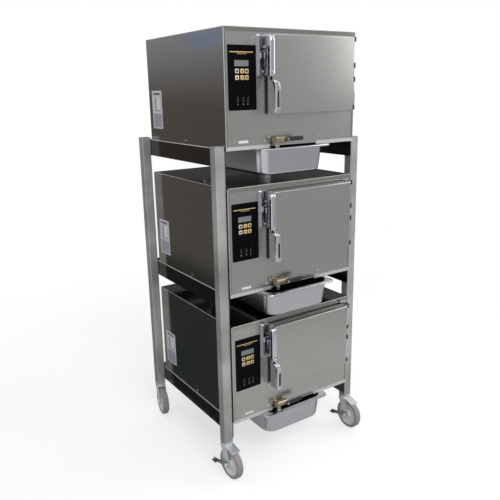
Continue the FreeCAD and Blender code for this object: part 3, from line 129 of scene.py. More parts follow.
looks = {
    # Brushed 304 sheet: fine level scratch lines that only soften what it mirrors
    "BrushedStainlessSheet": {
        "nodes": ["front_panel", "door_shell_lower", "door_shell_middle", "door_shell_upper"],
        "colour": "#c2c2c0", "drift": "#b5b5b2", "grain": (4, 4, 900), "cloud": 3.5,
        "streakShare": 0.16, "cloudShare": 0.6, "rough": (0.27, 0.29), "bump": 0.001},
    # The same sheet with a smoother mill finish, on the wrapper and the back: the room shows in
    # it as soft dark and pale fields
    "SmokyStainlessSheet": {
        "nodes": ["cabinet_wrapper", "rear_panel"],
        "colour": "#bab7b3", "drift": "#a8a4a0", "grain": (1.5, 1.5, 60), "cloud": 2.2,
        "streakShare": 0.6, "cloudShare": 0.5, "rough": (0.11, 0.15), "bump": 0.001},
    # Stainless base sheet: a pale colour that partly paints the highlight on its bent front lip, and a near-black
    # painted shade on the faces that look down
    "BaseSheetPaintedShade": {
        "nodes": ["base_pan", "pan_hangers"],
        "colour": "#dededc", "drift": "#cfcfcd", "grain": (4, 60, 400), "cloud": 9,
        "streakShare": 0.3, "cloudShare": 0.6, "rough": (0.3, 0.38), "bump": 0.01,
        "metallic": 0.5, "under": "#17171a"},
    # Bright-rolled liner sheet: smoother than the outside, faint mottling from steam
    "BrightRolledLiner": {
        "nodes": ["cooking_cavity", "door_liner_lower", "door_liner_middle", "door_liner_upper",
                  "pan_racks", "drain_pipe"],
        "colour": "#b9b8b4", "drift": "#9c9b97", "grain": (90, 90, 90), "cloud": 12,
        "streakShare": 0.4, "cloudShare": 0.6, "rough": (0.14, 0.24), "bump": 0.03},
    # Square tube polished along its length: upright grain lines, and broad patches between white and dark grey
    # that are painted highlights and painted shade
    "TubeSteelPaintedHighlights": {
        "nodes": ["stand_posts", "post_caps"],
        "colour": "#ffffff", "drift": "#565654", "grain": (420, 420, 3), "cloud": 4.5,
        "streakShare": 0.2, "cloudShare": 0.9, "rough": (0.3, 0.38), "bump": 0.006,
        "metallic": 0.6},
    # Bent angle rails, bright-rolled, coloured a dark brownish grey: painted shade for the dark space below the
    # cabinets that they mirror
    "AngleSteelPaintedShade": {
        "nodes": ["stand_rails"],
        "colour": "#6a6460", "drift": "#5a5552", "grain": (420, 3, 420), "cloud": 4,
        "streakShare": 0.3, "cloudShare": 0.6, "rough": (0.12, 0.18), "bump": 0.01},
    # Deep-drawn pan steel: soft sheen, drawn lines round the tub and fine handling marks
    "DrawnPanSteel": {
        "nodes": ["drip_pan_lower", "drip_pan_middle", "drip_pan_upper"],
        "colour": "#d6d6dc", "drift": "#c0c0c8", "grain": (9, 9, 220), "cloud": 7,
        "streakShare": 0.3, "cloudShare": 0.6, "rough": (0.2, 0.26), "bump": 0.006},
    # Plated die casting: near-mirror chrome, with the faint waviness of polishing
    "ChromedCasting": {
        "nodes": ["latch_body_lower", "latch_body_middle", "latch_body_upper",
                  "latch_handle_lower", "latch_handle_middle", "latch_handle_upper",
                  "latch_strike", "cabinet_hinges", "door_hinge_leaf_lower",
                  "door_hinge_leaf_middle", "door_hinge_leaf_upper", "panel_screws"],
        "colour": "#dfe0e6", "drift": "#cbcdd6", "grain": (60, 60, 60), "cloud": 25,
        "streakShare": 0.4, "cloudShare": 0.5, "rough": (0.08, 0.13), "bump": 0.01},
    # Bright zinc over pressed steel: bluish, with the spangle of the plating bath
    "ZincPlatedPressing": {
        "nodes": ["caster_fork_fl", "caster_fork_fr", "caster_fork_rl", "caster_fork_rr",
                  "caster_stems"],
        "colour": "#eceff2", "drift": "#cdd3db", "grain": (160, 160, 160), "cloud": 40,
        "streakShare": 0.5, "cloudShare": 0.5, "rough": (0.34, 0.46), "bump": 0.05,
        "metallic": 0.7},
    # Sand-cast aluminium: dull and pitted
    "SandCastAluminium": {
        "nodes": ["heat_plate"],
        "colour": "#a6a7a8", "drift": "#87888b", "grain": (600, 600, 600), "cloud": 30,
        "streakShare": 0.6, "cloudShare": 0.5, "rough": (0.42, 0.58), "bump": 0.35},
    # Cast brass, tumbled and a little tarnished: pale gold with brown in the hollows
    "TumbledBrass": {
        "nodes": ["drain_valve"],
        "colour": "#d2c8b6", "drift": "#8d806c", "grain": (260, 260, 260), "cloud": 70,
        "streakShare": 0.5, "cloudShare": 0.6, "rough": (0.24, 0.4), "bump": 0.2},
    # Dipped vinyl and moulded nylon: black, soft gloss, fine leathery skin. The same black is also laid as painted
    # shade in screw sockets, an adjusting hole and cross recesses
    "BlackPlasticAndPaintedShade": {
        "nodes": ["drain_lever_lower", "drain_lever_middle", "drain_lever_upper", "cable_gland"],
        "colour": "#1b1b1d", "drift": "#2b2b2e", "grain": (900, 900, 900), "cloud": 60,
        "streakShare": 0.5, "cloudShare": 0.5, "rough": (0.38, 0.52), "bump": 0.15,
        "metallic": 0.0},
    # Polycarbonate film printed on its back: black ink under a slightly textured clear face
    "BackPrintedOverlay": {
        "nodes": ["control_overlay"],
        "colour": "#050507", "drift": "#0b0b0e", "grain": (1400, 1400, 1400), "cloud": 20,
        "streakShare": 0.5, "cloudShare": 0.5, "rough": (0.3, 0.4), "bump": 0.03,
        "metallic": 0.0, "shader": {"Specular IOR Level": 0.06}},
    # Clear acrylic over a resting liquid-crystal display: flat grey-green with a soft gloss
    "DisplayAcrylic": {
        "nodes": ["display_window"],
        "colour": "#868b89", "drift": "#7a7f7e", "grain": (30, 30, 500), "cloud": 40,
        "streakShare": 0.4, "cloudShare": 0.5, "rough": (0.18, 0.26), "bump": 0.02,
        "metallic": 0.0},
    # Glass-fibre board under green solder mask: woven cloth shows through
    "GlassFibreBoard": {
        "nodes": ["control_electronics"],
        "colour": "#1f4a33", "drift": "#2d6243", "grain": (1500, 300, 1500), "cloud": 90,
        "streakShare": 0.5, "cloudShare": 0.5, "rough": (0.34, 0.48), "bump": 0.1,
        "metallic": 0.0},
    # Slab of mineral wool: matt straw-grey fibres lying in layers
    "MineralWoolSlab": {
        "nodes": ["cavity_insulation"],
        "colour": "#b8a670", "drift": "#8f7e50", "grain": (300, 300, 1200), "cloud": 60,
        "streakShare": 0.6, "cloudShare": 0.6, "rough": (0.85, 0.98), "bump": 0.8,
        "metallic": 0.0},
    # Extruded silicone seal: dark, matt, with a dusty bloom
    "ExtrudedSilicone": {
        "nodes": ["door_gasket_lower", "door_gasket_middle", "door_gasket_upper"],
        "colour": "#3b3a39", "drift": "#4c4a48", "grain": (500, 500, 500), "cloud": 50,
        "streakShare": 0.4, "cloudShare": 0.6, "rough": (0.6, 0.75), "bump": 0.1,
        "metallic": 0.0},
    # Grey thermoplastic rubber tread, moulded and a little scuffed
    "MouldedGreyRubber": {
        "nodes": ["tyre_fl", "tyre_fr", "tyre_rl", "tyre_rr"],
        "colour": "#aaa6a5", "drift": "#8c8888", "grain": (700, 700, 700), "cloud": 45,
        "streakShare": 0.5, "cloudShare": 0.7, "rough": (0.55, 0.72), "bump": 0.25,
        "metallic": 0.0},
    # Moulded polyolefin wheel centre: off-white, waxy
    "MouldedPolyolefin": {
        "nodes": ["wheel_hub_fl", "wheel_hub_fr", "wheel_hub_rl", "wheel_hub_rr"],
        "colour": "#ececea", "drift": "#dad9d6", "grain": (500, 500, 500), "cloud": 35,
        "streakShare": 0.4, "cloudShare": 0.6, "rough": (0.36, 0.5), "bump": 0.08,
        "metallic": 0.0},
    # Stamped brake pedal: zinc gone dull, with a worn tread face
    "StampedPedalSteel": {
        "nodes": ["brake_pedal_fl", "brake_pedal_fr"],
        "colour": "#a9adb2", "drift": "#7c8086", "grain": (300, 300, 300), "cloud": 80,
        "streakShare": 0.5, "cloudShare": 0.6, "rough": (0.3, 0.46), "bump": 0.15},
    # Screen inks on the overlay: cream and gold keys, grey rules, each with the ink's faint mottle
    "CreamScreenPrint": {
        "colour": "#e9ddcf", "drift": "#d8c7b2", "grain": (900, 900, 900), "cloud": 90,
        "streakShare": 0.4, "cloudShare": 0.6, "rough": (0.4, 0.5), "bump": 0.03, "metallic": 0.0},
    "GoldScreenPrint": {
        "colour": "#e8cf98", "drift": "#d3b06c", "grain": (900, 900, 900), "cloud": 90,
        "streakShare": 0.4, "cloudShare": 0.6, "rough": (0.4, 0.5), "bump": 0.03, "metallic": 0.0},
    "GreyScreenPrint": {
        "colour": "#66656a", "drift": "#55545a", "grain": (900, 900, 900), "cloud": 90,
        "streakShare": 0.4, "cloudShare": 0.6, "rough": (0.45, 0.55), "bump": 0.03, "metallic": 0.0},
    # Smoked acrylic lens over an unlit lamp
    "SmokedIndicatorLens": {
        "colour": "#b9b4ad", "drift": "#98938c", "grain": (300, 300, 300), "cloud": 90,
        "streakShare": 0.4, "cloudShare": 0.5, "rough": (0.14, 0.22), "bump": 0.02, "metallic": 0.0},
    # Unlit display figures: a shade darker than the grey behind them
    "RestingDisplayFigures": {
        "colour": "#767a80", "drift": "#6e7278", "grain": (300, 300, 300), "cloud": 90,
        "streakShare": 0.4, "cloudShare": 0.5, "rough": (0.2, 0.28), "bump": 0.01, "metallic": 0.0},
    # White stoved enamel on a small plate: smooth, with a little orange peel
    "WhiteEnamelPlate": {
        "colour": "#e6e6e4", "drift": "#d9d9d8", "grain": (500, 500, 500), "cloud": 60,
        "streakShare": 0.4, "cloudShare": 0.5, "rough": (0.24, 0.34), "bump": 0.05, "metallic": 0.0},
    # Printed vinyl film: pale, with a lilac-grey field and a dark head, uneven with grease; the grey also paints
    # the shadow of the blank panel
    "PaleVinylLabel": {
        "colour": "#d6d5de", "drift": "#c6c4d0", "grain": (700, 700, 700), "cloud": 30,
        "streakShare": 0.4, "cloudShare": 0.6, "rough": (0.38, 0.5), "bump": 0.04, "metallic": 0.0},
    "GreyVinylFieldAndShadow": {
        "colour": "#b0aebb", "drift": "#8a8896", "grain": (20, 60, 420), "cloud": 30,
        "streakShare": 0.6, "cloudShare": 0.4, "rough": (0.38, 0.5), "bump": 0.02, "metallic": 0.0},
    # Dark and matt: on the floor of the grip's groove, black infill with painted shade, and on a plate at the back
    # of the strike's slot, painted shade
    "GrooveFloorPaintedShade": {
        "colour": "#24252b", "drift": "#33343c", "grain": (500, 500, 500), "cloud": 90,
        "streakShare": 0.5, "cloudShare": 0.5, "rough": (0.45, 0.6), "bump": 0.1, "metallic": 0.4},
    # Painted highlight: a pale, dull colour on thin bars along bends and folds, so that they show as bright lines
    "PaintedEdgeHighlight": {
        "colour": "#e4e2dd", "drift": "#c9c6c0", "grain": (300, 8, 300), "cloud": 9,
        "streakShare": 0.5, "cloudShare": 0.6, "rough": (0.5, 0.62), "bump": 0.02, "metallic": 0.35},
}

# Each finish is made once and laid on the nodes that it names.
finish = {}
for name, look in looks.items():
    finish[name] = grainMaterial(name, look)
    for node in look.get("nodes", []):
        mesh = frame["nodes"][node].data
        mesh.materials.clear()
        mesh.materials.append(finish[name])
lookOf = {node: name for name, look in looks.items() for node in look.get("nodes", [])}
print("materials on every node, left over:", sorted(set(frame["nodes"]) - set(lookOf)))


# New pieces: each is a mesh in its final place, in the frame's metres, that rides on a body.
def newPiece(name, bm, body, look, replaced=()):
    bmesh.ops.remove_doubles(bm, verts=bm.verts, dist=0.002 * mm)
    bmesh.ops.recalc_face_normals(bm, faces=bm.faces)
    data = bpy.data.meshes.new(name)
    bm.to_mesh(data)
    bm.free()
    data.shade_smooth()
    data.set_sharp_from_angle(angle=math.radians(32))
    data.materials.append(finish[look])
    piece = bpy.data.objects.new(name, data)
    scene.collection.objects.link(piece)
    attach(piece, body)
    if replaced:
        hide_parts(*replaced)
    return piece


def placeAt(x, y, z):
    return Matrix.Translation((x * mm, y * mm, z * mm))


# Turns that make a flat shape's face look out of the front, out of the left side or along x.
toFront = Matrix(((1, 0, 0), (0, 0, -1), (0, 1, 0))).to_4x4()
toLeft = Matrix(((0, 0, -1), (-1, 0, 0), (0, 1, 0))).to_4x4()
alongX = Matrix(((0, 0, 1), (1, 0, 0), (0, 1, 0))).to_4x4()


# Extrudes a face, moves the new one and returns it.
def pullFace(bm, face, by):
    grown = bmesh.ops.extrude_face_region(bm, geom=[face])["geom"]
    bmesh.ops.translate(bm, vec=by, verts=[v for v in grown if isinstance(v, bmesh.types.BMVert)])
    return next(f for f in grown if isinstance(f, bmesh.types.BMFace))


def roundEdges(bm, edges, width, segments=2):
    bmesh.ops.bevel(bm, geom=edges, offset=width * mm, offset_type="OFFSET", segments=segments,
                    profile=0.5, affect="EDGES", material=-1)


def addBlock(bm, low, high, edge=0, segments=2):
    middle = placeAt(*[(a + b) / 2 for a, b in zip(low, high)])
    size = Matrix.Diagonal([(b - a) * mm for a, b in zip(low, high)] + [1])
    made = bmesh.ops.create_cube(bm, size=1, matrix=middle @ size)
    if edge:
        edges = list({line for vert in made["verts"] for line in vert.link_edges})
        roundEdges(bm, edges, edge, segments)


# A flat face with round corners, which a plate or a loft starts from.
def addRing(bm, place, width, height, corner, segments=4):
    known = set(bm.faces)
    size = Matrix.Diagonal((width * mm, height * mm, 1, 1))
    made = bmesh.ops.create_grid(bm, x_segments=1, y_segments=1, size=0.5, matrix=place @ size)
    bmesh.ops.bevel(bm, geom=made["verts"], offset=corner * mm, offset_type="OFFSET",
                    segments=segments, profile=0.5, affect="VERTICES", material=-1)
    return (set(bm.faces) - known).pop()


def addPlate(bm, place, width, height, thick, corner, edge=0, segments=4):
    face = addRing(bm, place, width, height, corner, segments)
    lid = pullFace(bm, face, place.to_3x3() @ Vector((0, 0, thick * mm)))
    if edge:
        roundEdges(bm, list(lid.edges), edge)


def addLoft(bm, sections, turn=Matrix.Identity(4)):
    rings = [addRing(bm, placeAt(*at) @ turn, width, height, corner)
             for at, width, height, corner in sections]
    for first, second in zip(rings, rings[1:]):
        bmesh.ops.bridge_loops(bm, edges=list(first.edges) + list(second.edges))
    bmesh.ops.delete(bm, geom=rings[1:-1], context="FACES_ONLY")


# A turned shape from points given as place along its axis and radius.
def addTurned(bm, outline, place, steps=32):
    verts = [bm.verts.new(place @ Vector((radius * mm, 0, along * mm))) for along, radius in outline]
    edges = [bm.edges.new(pair) for pair in zip(verts, verts[1:])]
    bmesh.ops.spin(bm, geom=verts + edges, cent=place.to_translation(),
                   axis=place.to_3x3() @ Vector((0, 0, 1)), angle=math.tau, steps=steps,
                   use_merge=True)


# A flat shape with the given number of corners, such as a printed symbol or a bolt head.
def addPolygon(bm, place, corners, radius, thick):
    made = bmesh.ops.create_circle(bm, cap_ends=True, segments=corners, radius=radius * mm,
                                   matrix=place)
    outward = place.to_3x3() @ Vector((0, 0, thick * mm))
    return pullFace(bm, made["verts"][0].link_faces[0], outward)


# The hardware keeps its CAD shape, with the edges broken as casting and stamping leave them.
brokenEdges = {"latch_strike": 1.2, "door_shell": 1.4, "cabinet_hinges": 0.8,
               "door_hinge_leaf": 0.7, "drain_valve": 0.7, "caster_fork": 0.8, "brake_pedal": 0.9,
               "stand_rails": 0.7, "post_caps": 0.6, "caster_stems": 0.6, "panel_screws": 0.5,
               "cable_gland": 0.8}
bodyOf = {node: body for body, nodes in frame["record"]["behaviour"]["bodies"].items()
          for node in nodes}
for node in sorted(frame["nodes"]):
    kind = next((k for k in brokenEdges if node == k or node.startswith(k + "_")), None)
    if kind is None:
        continue
    bm = bmesh.new()
    bm.from_mesh(frame["nodes"][node].data)
    bmesh.ops.remove_doubles(bm, verts=bm.verts, dist=0.005 * mm)
    bmesh.ops.dissolve_limit(bm, angle_limit=math.radians(1), verts=bm.verts, edges=bm.edges,
                             use_dissolve_boundaries=False)
    piece = newPiece("worn_" + node, bm, bodyOf[node], lookOf[node], [node])
    broken = piece.modifiers.new("brokenEdges", "BEVEL")
    broken.width, broken.segments = brokenEdges[kind] * mm, 2
    broken.limit_method, broken.angle_limit = "ANGLE", math.radians(40)
    broken.use_clamp_overlap = broken.harden_normals = True
print("hardware with broken edges")

# Door handle: the casting leaves the latch as a flat neck, bends out and aside, and ends in an
# upright grip with a groove down its face. Sections are given down from the root: height over
# the deck, x, y, width, depth and corner.
handle = {"sections": [(256, -134.5, -338, 14, 6.5, 2), (246, -134.5, -336.2, 14, 7, 2),
                       (238, -134.5, -335.6, 14, 6.6, 2), (233.4, -134.6, -338.4, 16, 12, 3.6),
                       (231, -134, -345.6, 18, 18, 4.4), (227.4, -132.4, -351.6, 19, 21.4, 4.8),
                       (222.6, -129, -354.6, 20, 22.6, 5), (216.6, -126, -356.6, 21, 19.4, 5),
                       (209, -124.4, -358.3, 21.8, 16.2, 5), (199, -124, -359.3, 22, 14, 5),
                       (163, -124, -359.5, 22, 13.6, 5), (131, -124, -359.4, 22, 13.6, 5),
                       (124, -124, -359, 21.6, 13.6, 5), (119.6, -124, -358.8, 18.4, 11.6, 4.6),
                       (118, -124, -358.6, 13, 7.6, 3.4)],
          "groove": {"low": 131, "high": 199, "rim": 2.6, "aside": 2, "deep": 3},
          "floor": ((-122.2, -364.4, 163), (5.6, 60)),
          "screw": (-126.4, -366, 212)}
for level, deck in levels.items():
    bm = bmesh.new()
    addLoft(bm, [((x, y, deck + z), w, d, c) for z, x, y, w, d, c in handle["sections"]])
    groove = handle["groove"]
    bmesh.ops.recalc_face_normals(bm, faces=bm.faces)
    face = [f for f in bm.faces if f.normal.y < -0.95
            and groove["low"] * mm < f.calc_center_median().z - deck * mm < groove["high"] * mm]
    bmesh.ops.inset_region(bm, faces=face, thickness=groove["rim"] * mm, use_even_offset=True)
    floor = list({v for f in face for v in f.verts})
    bmesh.ops.translate(bm, verts=floor, vec=(groove["aside"] * mm, 0, 0))
    bmesh.ops.inset_region(bm, faces=face, thickness=0.4 * mm, use_even_offset=True)
    floor = list({v for f in face for v in f.verts})
    bmesh.ops.translate(bm, verts=floor, vec=(0, groove["deep"] * mm, 0))
    piece = newPiece("grip_casting_" + level, bm, "handle_" + level, "ChromedCasting",
                     ["latch_handle_" + level])
    smooth = piece.modifiers.new("castingSkin", "SUBSURF")
    smooth.levels = smooth.render_levels = 2
    # The groove's floor plate is dark: black infill with painted shade.
    (x, y, z), size = handle["floor"]
    bm = bmesh.new()
    addPlate(bm, placeAt(x, y, deck + z) @ toFront, *size, 0.4, 2.6)
    newPiece("grip_groove_" + level, bm, "handle_" + level, "GrooveFloorPaintedShade")
    x, y, z = handle["screw"]
    bm = bmesh.new()
    addTurned(bm, [(-2, 3.4), (0.2, 3.4), (0.7, 3), (0.8, 2.5), (0.2, 2.2), (-2, 2.2)],
              placeAt(x, y, deck + z) @ toFront, 24)
    newPiece("grip_screw_" + level, bm, "handle_" + level, "ChromedCasting")
    # A black disc in the screw's socket: painted shade.
    bm = bmesh.new()
    addTurned(bm, [(-1, 2.3), (0.3, 2.2), (0.25, 0)], placeAt(x, y, deck + z) @ toFront, 24)
    newPiece("grip_screw_socket_shade_" + level, bm, "handle_" + level, "BlackPlasticAndPaintedShade")
print("door handles")

# Latch: a cast hood on the door's edge, open below for the handle's root, with a nose that
# reaches into the strike, and an adjusting screw at its foot.
latch = {"sections": [(242, -134.5, -338.6, 20, 20.6, 4.6), (244, -134.5, -339, 21, 22, 5.4),
                      (252, -134.5, -339, 21, 22, 5.6), (356, -134.5, -339, 21, 22, 5.6),
                      (366, -134.5, -338.4, 20.8, 20.8, 5.4), (372, -134.5, -336.6, 20, 17.2, 5),
                      (376, -134.5, -334, 17, 12, 4), (377, -134.5, -332.4, 12, 7, 3)],
         "pocket": {"rim": 1.8, "deep": 34}, "nose": ((-144.5, -330, 301), (-136.5, -297, 321)),
         "slot": ((-148.5, -295.6, 266), (-132.5, -295.4, 338)),
         "front": -350.2, "hole": (-133.4, 255, 3.1), "screw": (-132.4, 247.6, 2.4)}
for level, deck in levels.items():
    bm = bmesh.new()
    addLoft(bm, [((x, y, deck + z), w, d, c) for z, x, y, w, d, c in latch["sections"]])
    bmesh.ops.recalc_face_normals(bm, faces=bm.faces)
    foot = min(bm.faces, key=lambda f: f.calc_center_median().z)
    bmesh.ops.inset_region(bm, faces=[foot], thickness=latch["pocket"]["rim"] * mm)
    pullFace(bm, foot, (0, 0, latch["pocket"]["deep"] * mm))
    bmesh.ops.delete(bm, geom=[foot], context="FACES")
    low, high = latch["nose"]
    addBlock(bm, (low[0], low[1], deck + low[2]), (high[0], high[1], deck + high[2]), 1.2)
    newPiece("latch_casting_" + level, bm, "door_" + level, "ChromedCasting",
             ["latch_body_" + level])
    # The socket is a black disc in the adjusting hole: painted shade.
    ring, socket = bmesh.new(), bmesh.new()
    x, z, r = latch["hole"]
    place = placeAt(x, latch["front"], deck + z) @ toFront
    addTurned(ring, [(-1, r + 1.4), (0.2, r + 1.3), (0.5, r + 0.6), (0.1, r), (-1, r)], place, 24)
    addTurned(socket, [(-1, r), (0.15, r), (0.1, 0)], place, 24)
    x, z, r = latch["screw"]
    addTurned(ring, [(-1, r), (0.5, r), (1.1, r * 0.75), (1.3, 0)],
              placeAt(x, latch["front"], deck + z) @ toFront, 20)
    newPiece("latch_screw_" + level, ring, "door_" + level, "ChromedCasting")
    newPiece("latch_hole_shade_" + level, socket, "door_" + level, "BlackPlasticAndPaintedShade")
    # A dark plate at the back of the strike's slot: painted shade.
    bm = bmesh.new()
    low, high = latch["slot"]
    addBlock(bm, (low[0], low[1], deck + low[2]), (high[0], high[1], deck + high[2]))
    newPiece("strike_slot_shade_" + level, bm, mainBody, "GrooveFloorPaintedShade")

# Hinges: a black nylon cap closes each fixed knuckle and holds the pin in.
hingeCap = {"foot": (117, 271), "head": (220, 365), "span": 18, "length": 17.6, "radius": 9.8}
for level, deck in levels.items():
    bm = bmesh.new()
    x, y = cabinet["hinge"]
    r, tall = hingeCap["radius"], hingeCap["length"]
    outline = [(-0.9, 0), (-0.9, r - 2.6), (-0.2, r - 0.9), (1, r), (tall - 0.6, r),
               (tall, r - 0.5), (tall, 0)]
    upturned = [(hingeCap["span"] - along, radius) for along, radius in outline]
    for z in hingeCap["foot"]:
        addTurned(bm, outline, placeAt(x, y, deck + z))
    for z in hingeCap["head"]:
        addTurned(bm, upturned, placeAt(x, y, deck + z))
    newPiece("hinge_caps_" + level, bm, mainBody, "BlackPlasticAndPaintedShade")
print("latch screws and hinge caps")

# Controls: printed key pads over sealed domes, with plain marks for symbols, three indicator
# lights with their rules, and plain gold rules at the head: x, height, width, height and corner.
keypad = {"columns": (-245.5, -224.5, -206), "rows": (260, 238.7), "size": 15.2, "corner": 2.4,
          "rise": 0.5, "paleColumn": -245.5,
          "symbols": {(-245.5, 260): (24, 0), (-245.5, 238.7): (4, 45), (-224.5, 260): (3, 90),
                      (-206, 260): (6, 0), (-224.5, 238.7): (3, -90), (-206, 238.7): (4, 0)},
          "symbolRadius": 4.2, "lights": (-245, -222, -203.5), "lightHeight": 150,
          "rules": (156, 177), "headRules": ((-227, 322, 96, 3, 1.4), (-224, 316, 40, 1.4, 0.6))}
for level, deck in levels.items():
    pale, gold, ink, marks, lights = [bmesh.new() for _ in range(5)]
    y = cabinet["overlay"]
    for x in keypad["columns"]:
        for z in keypad["rows"]:
            addPlate(pale if x == keypad["paleColumn"] else gold,
                     placeAt(x, y + 0.3, deck + z) @ toFront, keypad["size"], keypad["size"],
                     keypad["rise"] + 0.3, keypad["corner"], 0.4)
            corners, turn = keypad["symbols"][x, z]
            place = placeAt(x, y - keypad["rise"] + 0.1, deck + z) @ toFront
            addPolygon(ink, place @ Matrix.Rotation(math.radians(turn), 4, "Z"), corners,
                       keypad["symbolRadius"], 0.16)
            addBlock(ink, (x - 4.5, y - keypad["rise"] - 0.05, deck + z - 6.2),
                     (x + 4.5, y - keypad["rise"] + 0.1, deck + z - 5.4))
    for x in keypad["lights"]:
        addTurned(lights, [(-0.3, 2), (0.3, 1.9), (0.9, 1.1), (1.05, 0)],
                  placeAt(x, y, deck + keypad["lightHeight"]) @ toFront, 20)
        low, high = keypad["rules"]
        for aside, share in ((-2.2, 0.8), (1.6, 1)):
            addBlock(marks, (x + aside, y - 0.1, deck + low),
                     (x + aside + 1.1, y + 0.1, deck + low + (high - low) * share))
    for x, z, wide, high, corner in keypad["headRules"]:
        addPlate(gold, placeAt(x, y + 0.1, deck + z) @ toFront, wide, high, 0.25, corner)
    newPiece("pale_keys_" + level, pale, mainBody, "CreamScreenPrint")
    newPiece("gold_keys_" + level, gold, mainBody, "GoldScreenPrint")
    newPiece("key_symbols_" + level, ink, mainBody, "BackPrintedOverlay")
    newPiece("panel_rules_" + level, marks, mainBody, "GreyScreenPrint")
    newPiece("indicator_lights_" + level, lights, mainBody, "SmokedIndicatorLens")

# Display: a thin black frame round the window, and the resting figures in it.
display = {"left": -255, "right": -198.5, "low": 276, "high": 295, "digits": 4, "bar": 1.5,
           "digitHeight": 12, "digitWidth": 7.5, "pitch": 12.5, "rim": 1.6}
for level, deck in levels.items():
    frameMesh, figures = bmesh.new(), bmesh.new()
    y = cabinet["overlay"]
    left, right, low, high = [display[k] for k in ("left", "right", "low", "high")]
    rim = display["rim"]
    for a, b in (((left - rim, low - rim), (right + rim, low)),
                 ((left - rim, high), (right + rim, high + rim)),
                 ((left - rim, low), (left, high)), ((right, low), (right + rim, high))):
        addBlock(frameMesh, (a[0], y - 0.5, deck + a[1]), (b[0], y + 0.3, deck + b[1]), 0.2)
    tall, wide, bar = display["digitHeight"], display["digitWidth"], display["bar"]
    foot = (low + high - tall) / 2
    for step in range(display["digits"]):
        x = (left + right) / 2 + (step - 1.5) * display["pitch"] - wide / 2
        for row in range(3):
            z = foot + row * (tall - bar) / 2
            addBlock(figures, (x + bar, y - 0.06, deck + z),
                     (x + wide - bar, y + 0.1, deck + z + bar))
        for column in (x, x + wide - bar):
            for z in (foot + bar, foot + (tall + bar) / 2):
                addBlock(figures, (column, y - 0.06, deck + z),
                         (column + bar, y + 0.1, deck + z + (tall - 3 * bar) / 2))
    newPiece("display_frame_" + level, frameMesh, mainBody, "BlackPlasticAndPaintedShade")
    newPiece("display_figures_" + level, figures, mainBody, "RestingDisplayFigures")
print("controls")

# Bare plates: a white one low on the front, held by two rivets, and on the left side a pale label with a blank
# panel and a grey painted shadow below it and towards the back. Places are x or y, and the height over the deck.
plates = {"front": {"place": (-225, 20.5), "size": (42, 9.5), "corner": 2, "thick": 0.9},
          "rivets": (-243, -207),
          "label": {"place": (238, 125), "size": (90, 152), "corner": 3, "thick": 0.15},
          "field": {"place": (238, 82), "size": (76, 56), "corner": 1, "thick": 0.2},
          "head": {"place": (238, 188), "size": (60, 8), "corner": 1, "thick": 0.2},
          # The shade patch is a painted shadow of the blank panel, showing below it and towards the back.
          "shade": {"place": (232, 147), "size": (52, 56), "corner": 1, "thick": 0.2},
          "blank": {"place": (226, 150), "size": (34, 50), "corner": 1, "thick": 0.25}}
for level, deck in levels.items():
    white, label, field, dark = [bmesh.new() for _ in range(4)]
    plate = plates["front"]
    x, z = plate["place"]
    addPlate(white, placeAt(x, cabinet["panel"], deck + z) @ toFront, *plate["size"],
             plate["thick"], plate["corner"], 0.4)
    for x in plates["rivets"]:
        addTurned(white, [(0.8, 1.2), (1.3, 0.9), (1.5, 0)],
                  placeAt(x, cabinet["panel"], deck + z) @ toFront, 16)
    for name, bm in (("label", label), ("field", field), ("shade", field), ("head", dark),
                     ("blank", white)):
        plate = plates[name]
        y, z = plate["place"]
        addPlate(bm, placeAt(cabinet["left"], y, deck + z) @ toLeft, *plate["size"], plate["thick"],
                 plate["corner"])
    newPiece("white_plates_" + level, white, mainBody, "WhiteEnamelPlate")
    newPiece("side_label_" + level, label, mainBody, "PaleVinylLabel")
    newPiece("side_label_fields_and_shadow_" + level, field, mainBody, "GreyVinylFieldAndShadow")
    newPiece("side_label_head_" + level, dark, mainBody, "GreyScreenPrint")

# Dark crosses laid on the screw heads: painted shade for the cross recesses pressed in them.
screwHeads = {"front": [(-259, 18), (-130, 18.6), (-112, 30), (127, 21.5), (254, 18)],
              "strike": (-140.5, -305, 257), "side": (3, 12), "bar": (4.6, 1)}
recessShade = bmesh.new()
for deck in levels.values():
    spots = [((x, cabinet["panel"] - 2, deck + z), toFront) for x, z in screwHeads["front"]]
    x, y, z = screwHeads["strike"]
    spots.append(((x, y, deck + z), toFront))
    y, z = screwHeads["side"]
    spots.append(((cabinet["left"] - 2, y, deck + z), toLeft))
    for spot, turn in spots:
        for angle in (45, 135):
            place = placeAt(*spot) @ turn @ Matrix.Rotation(math.radians(angle), 4, "Z")
            addPlate(recessShade, place, *screwHeads["bar"], 0.06, 0.3, segments=1)
newPiece("screw_recess_shade", recessShade, mainBody, "BlackPlasticAndPaintedShade")
print("plates and screw recesses")

# Drain lever: flat steel at the stem, dipped in black vinyl along its handle. Sections run along
# x: place, height over the deck, height and thickness.
lever = {"y": -330, "sections": [(-66.4, 24, 9, 3.2), (-64, 24, 14, 4), (-57, 24, 18, 4),
                                 (-48, 24, 16, 4), (-43, 24, 15, 4.6), (-39, 24, 16, 7),
                                 (-10, 24, 16.6, 7.4), (10, 24, 16, 7), (15, 24, 11, 5),
                                 (16.4, 24, 6, 2.6)]}
for level, deck in levels.items():
    bm = bmesh.new()
    addLoft(bm, [((x, lever["y"], deck + z), thick, high, min(thick, high) * 0.45)
                 for x, z, high, thick in lever["sections"]], alongX)
    piece = newPiece("dipped_lever_" + level, bm, "lever_" + level, "BlackPlasticAndPaintedShade",
                     ["drain_lever_" + level])
    smooth = piece.modifiers.new("dippedSkin", "SUBSURF")
    smooth.levels = smooth.render_levels = 1

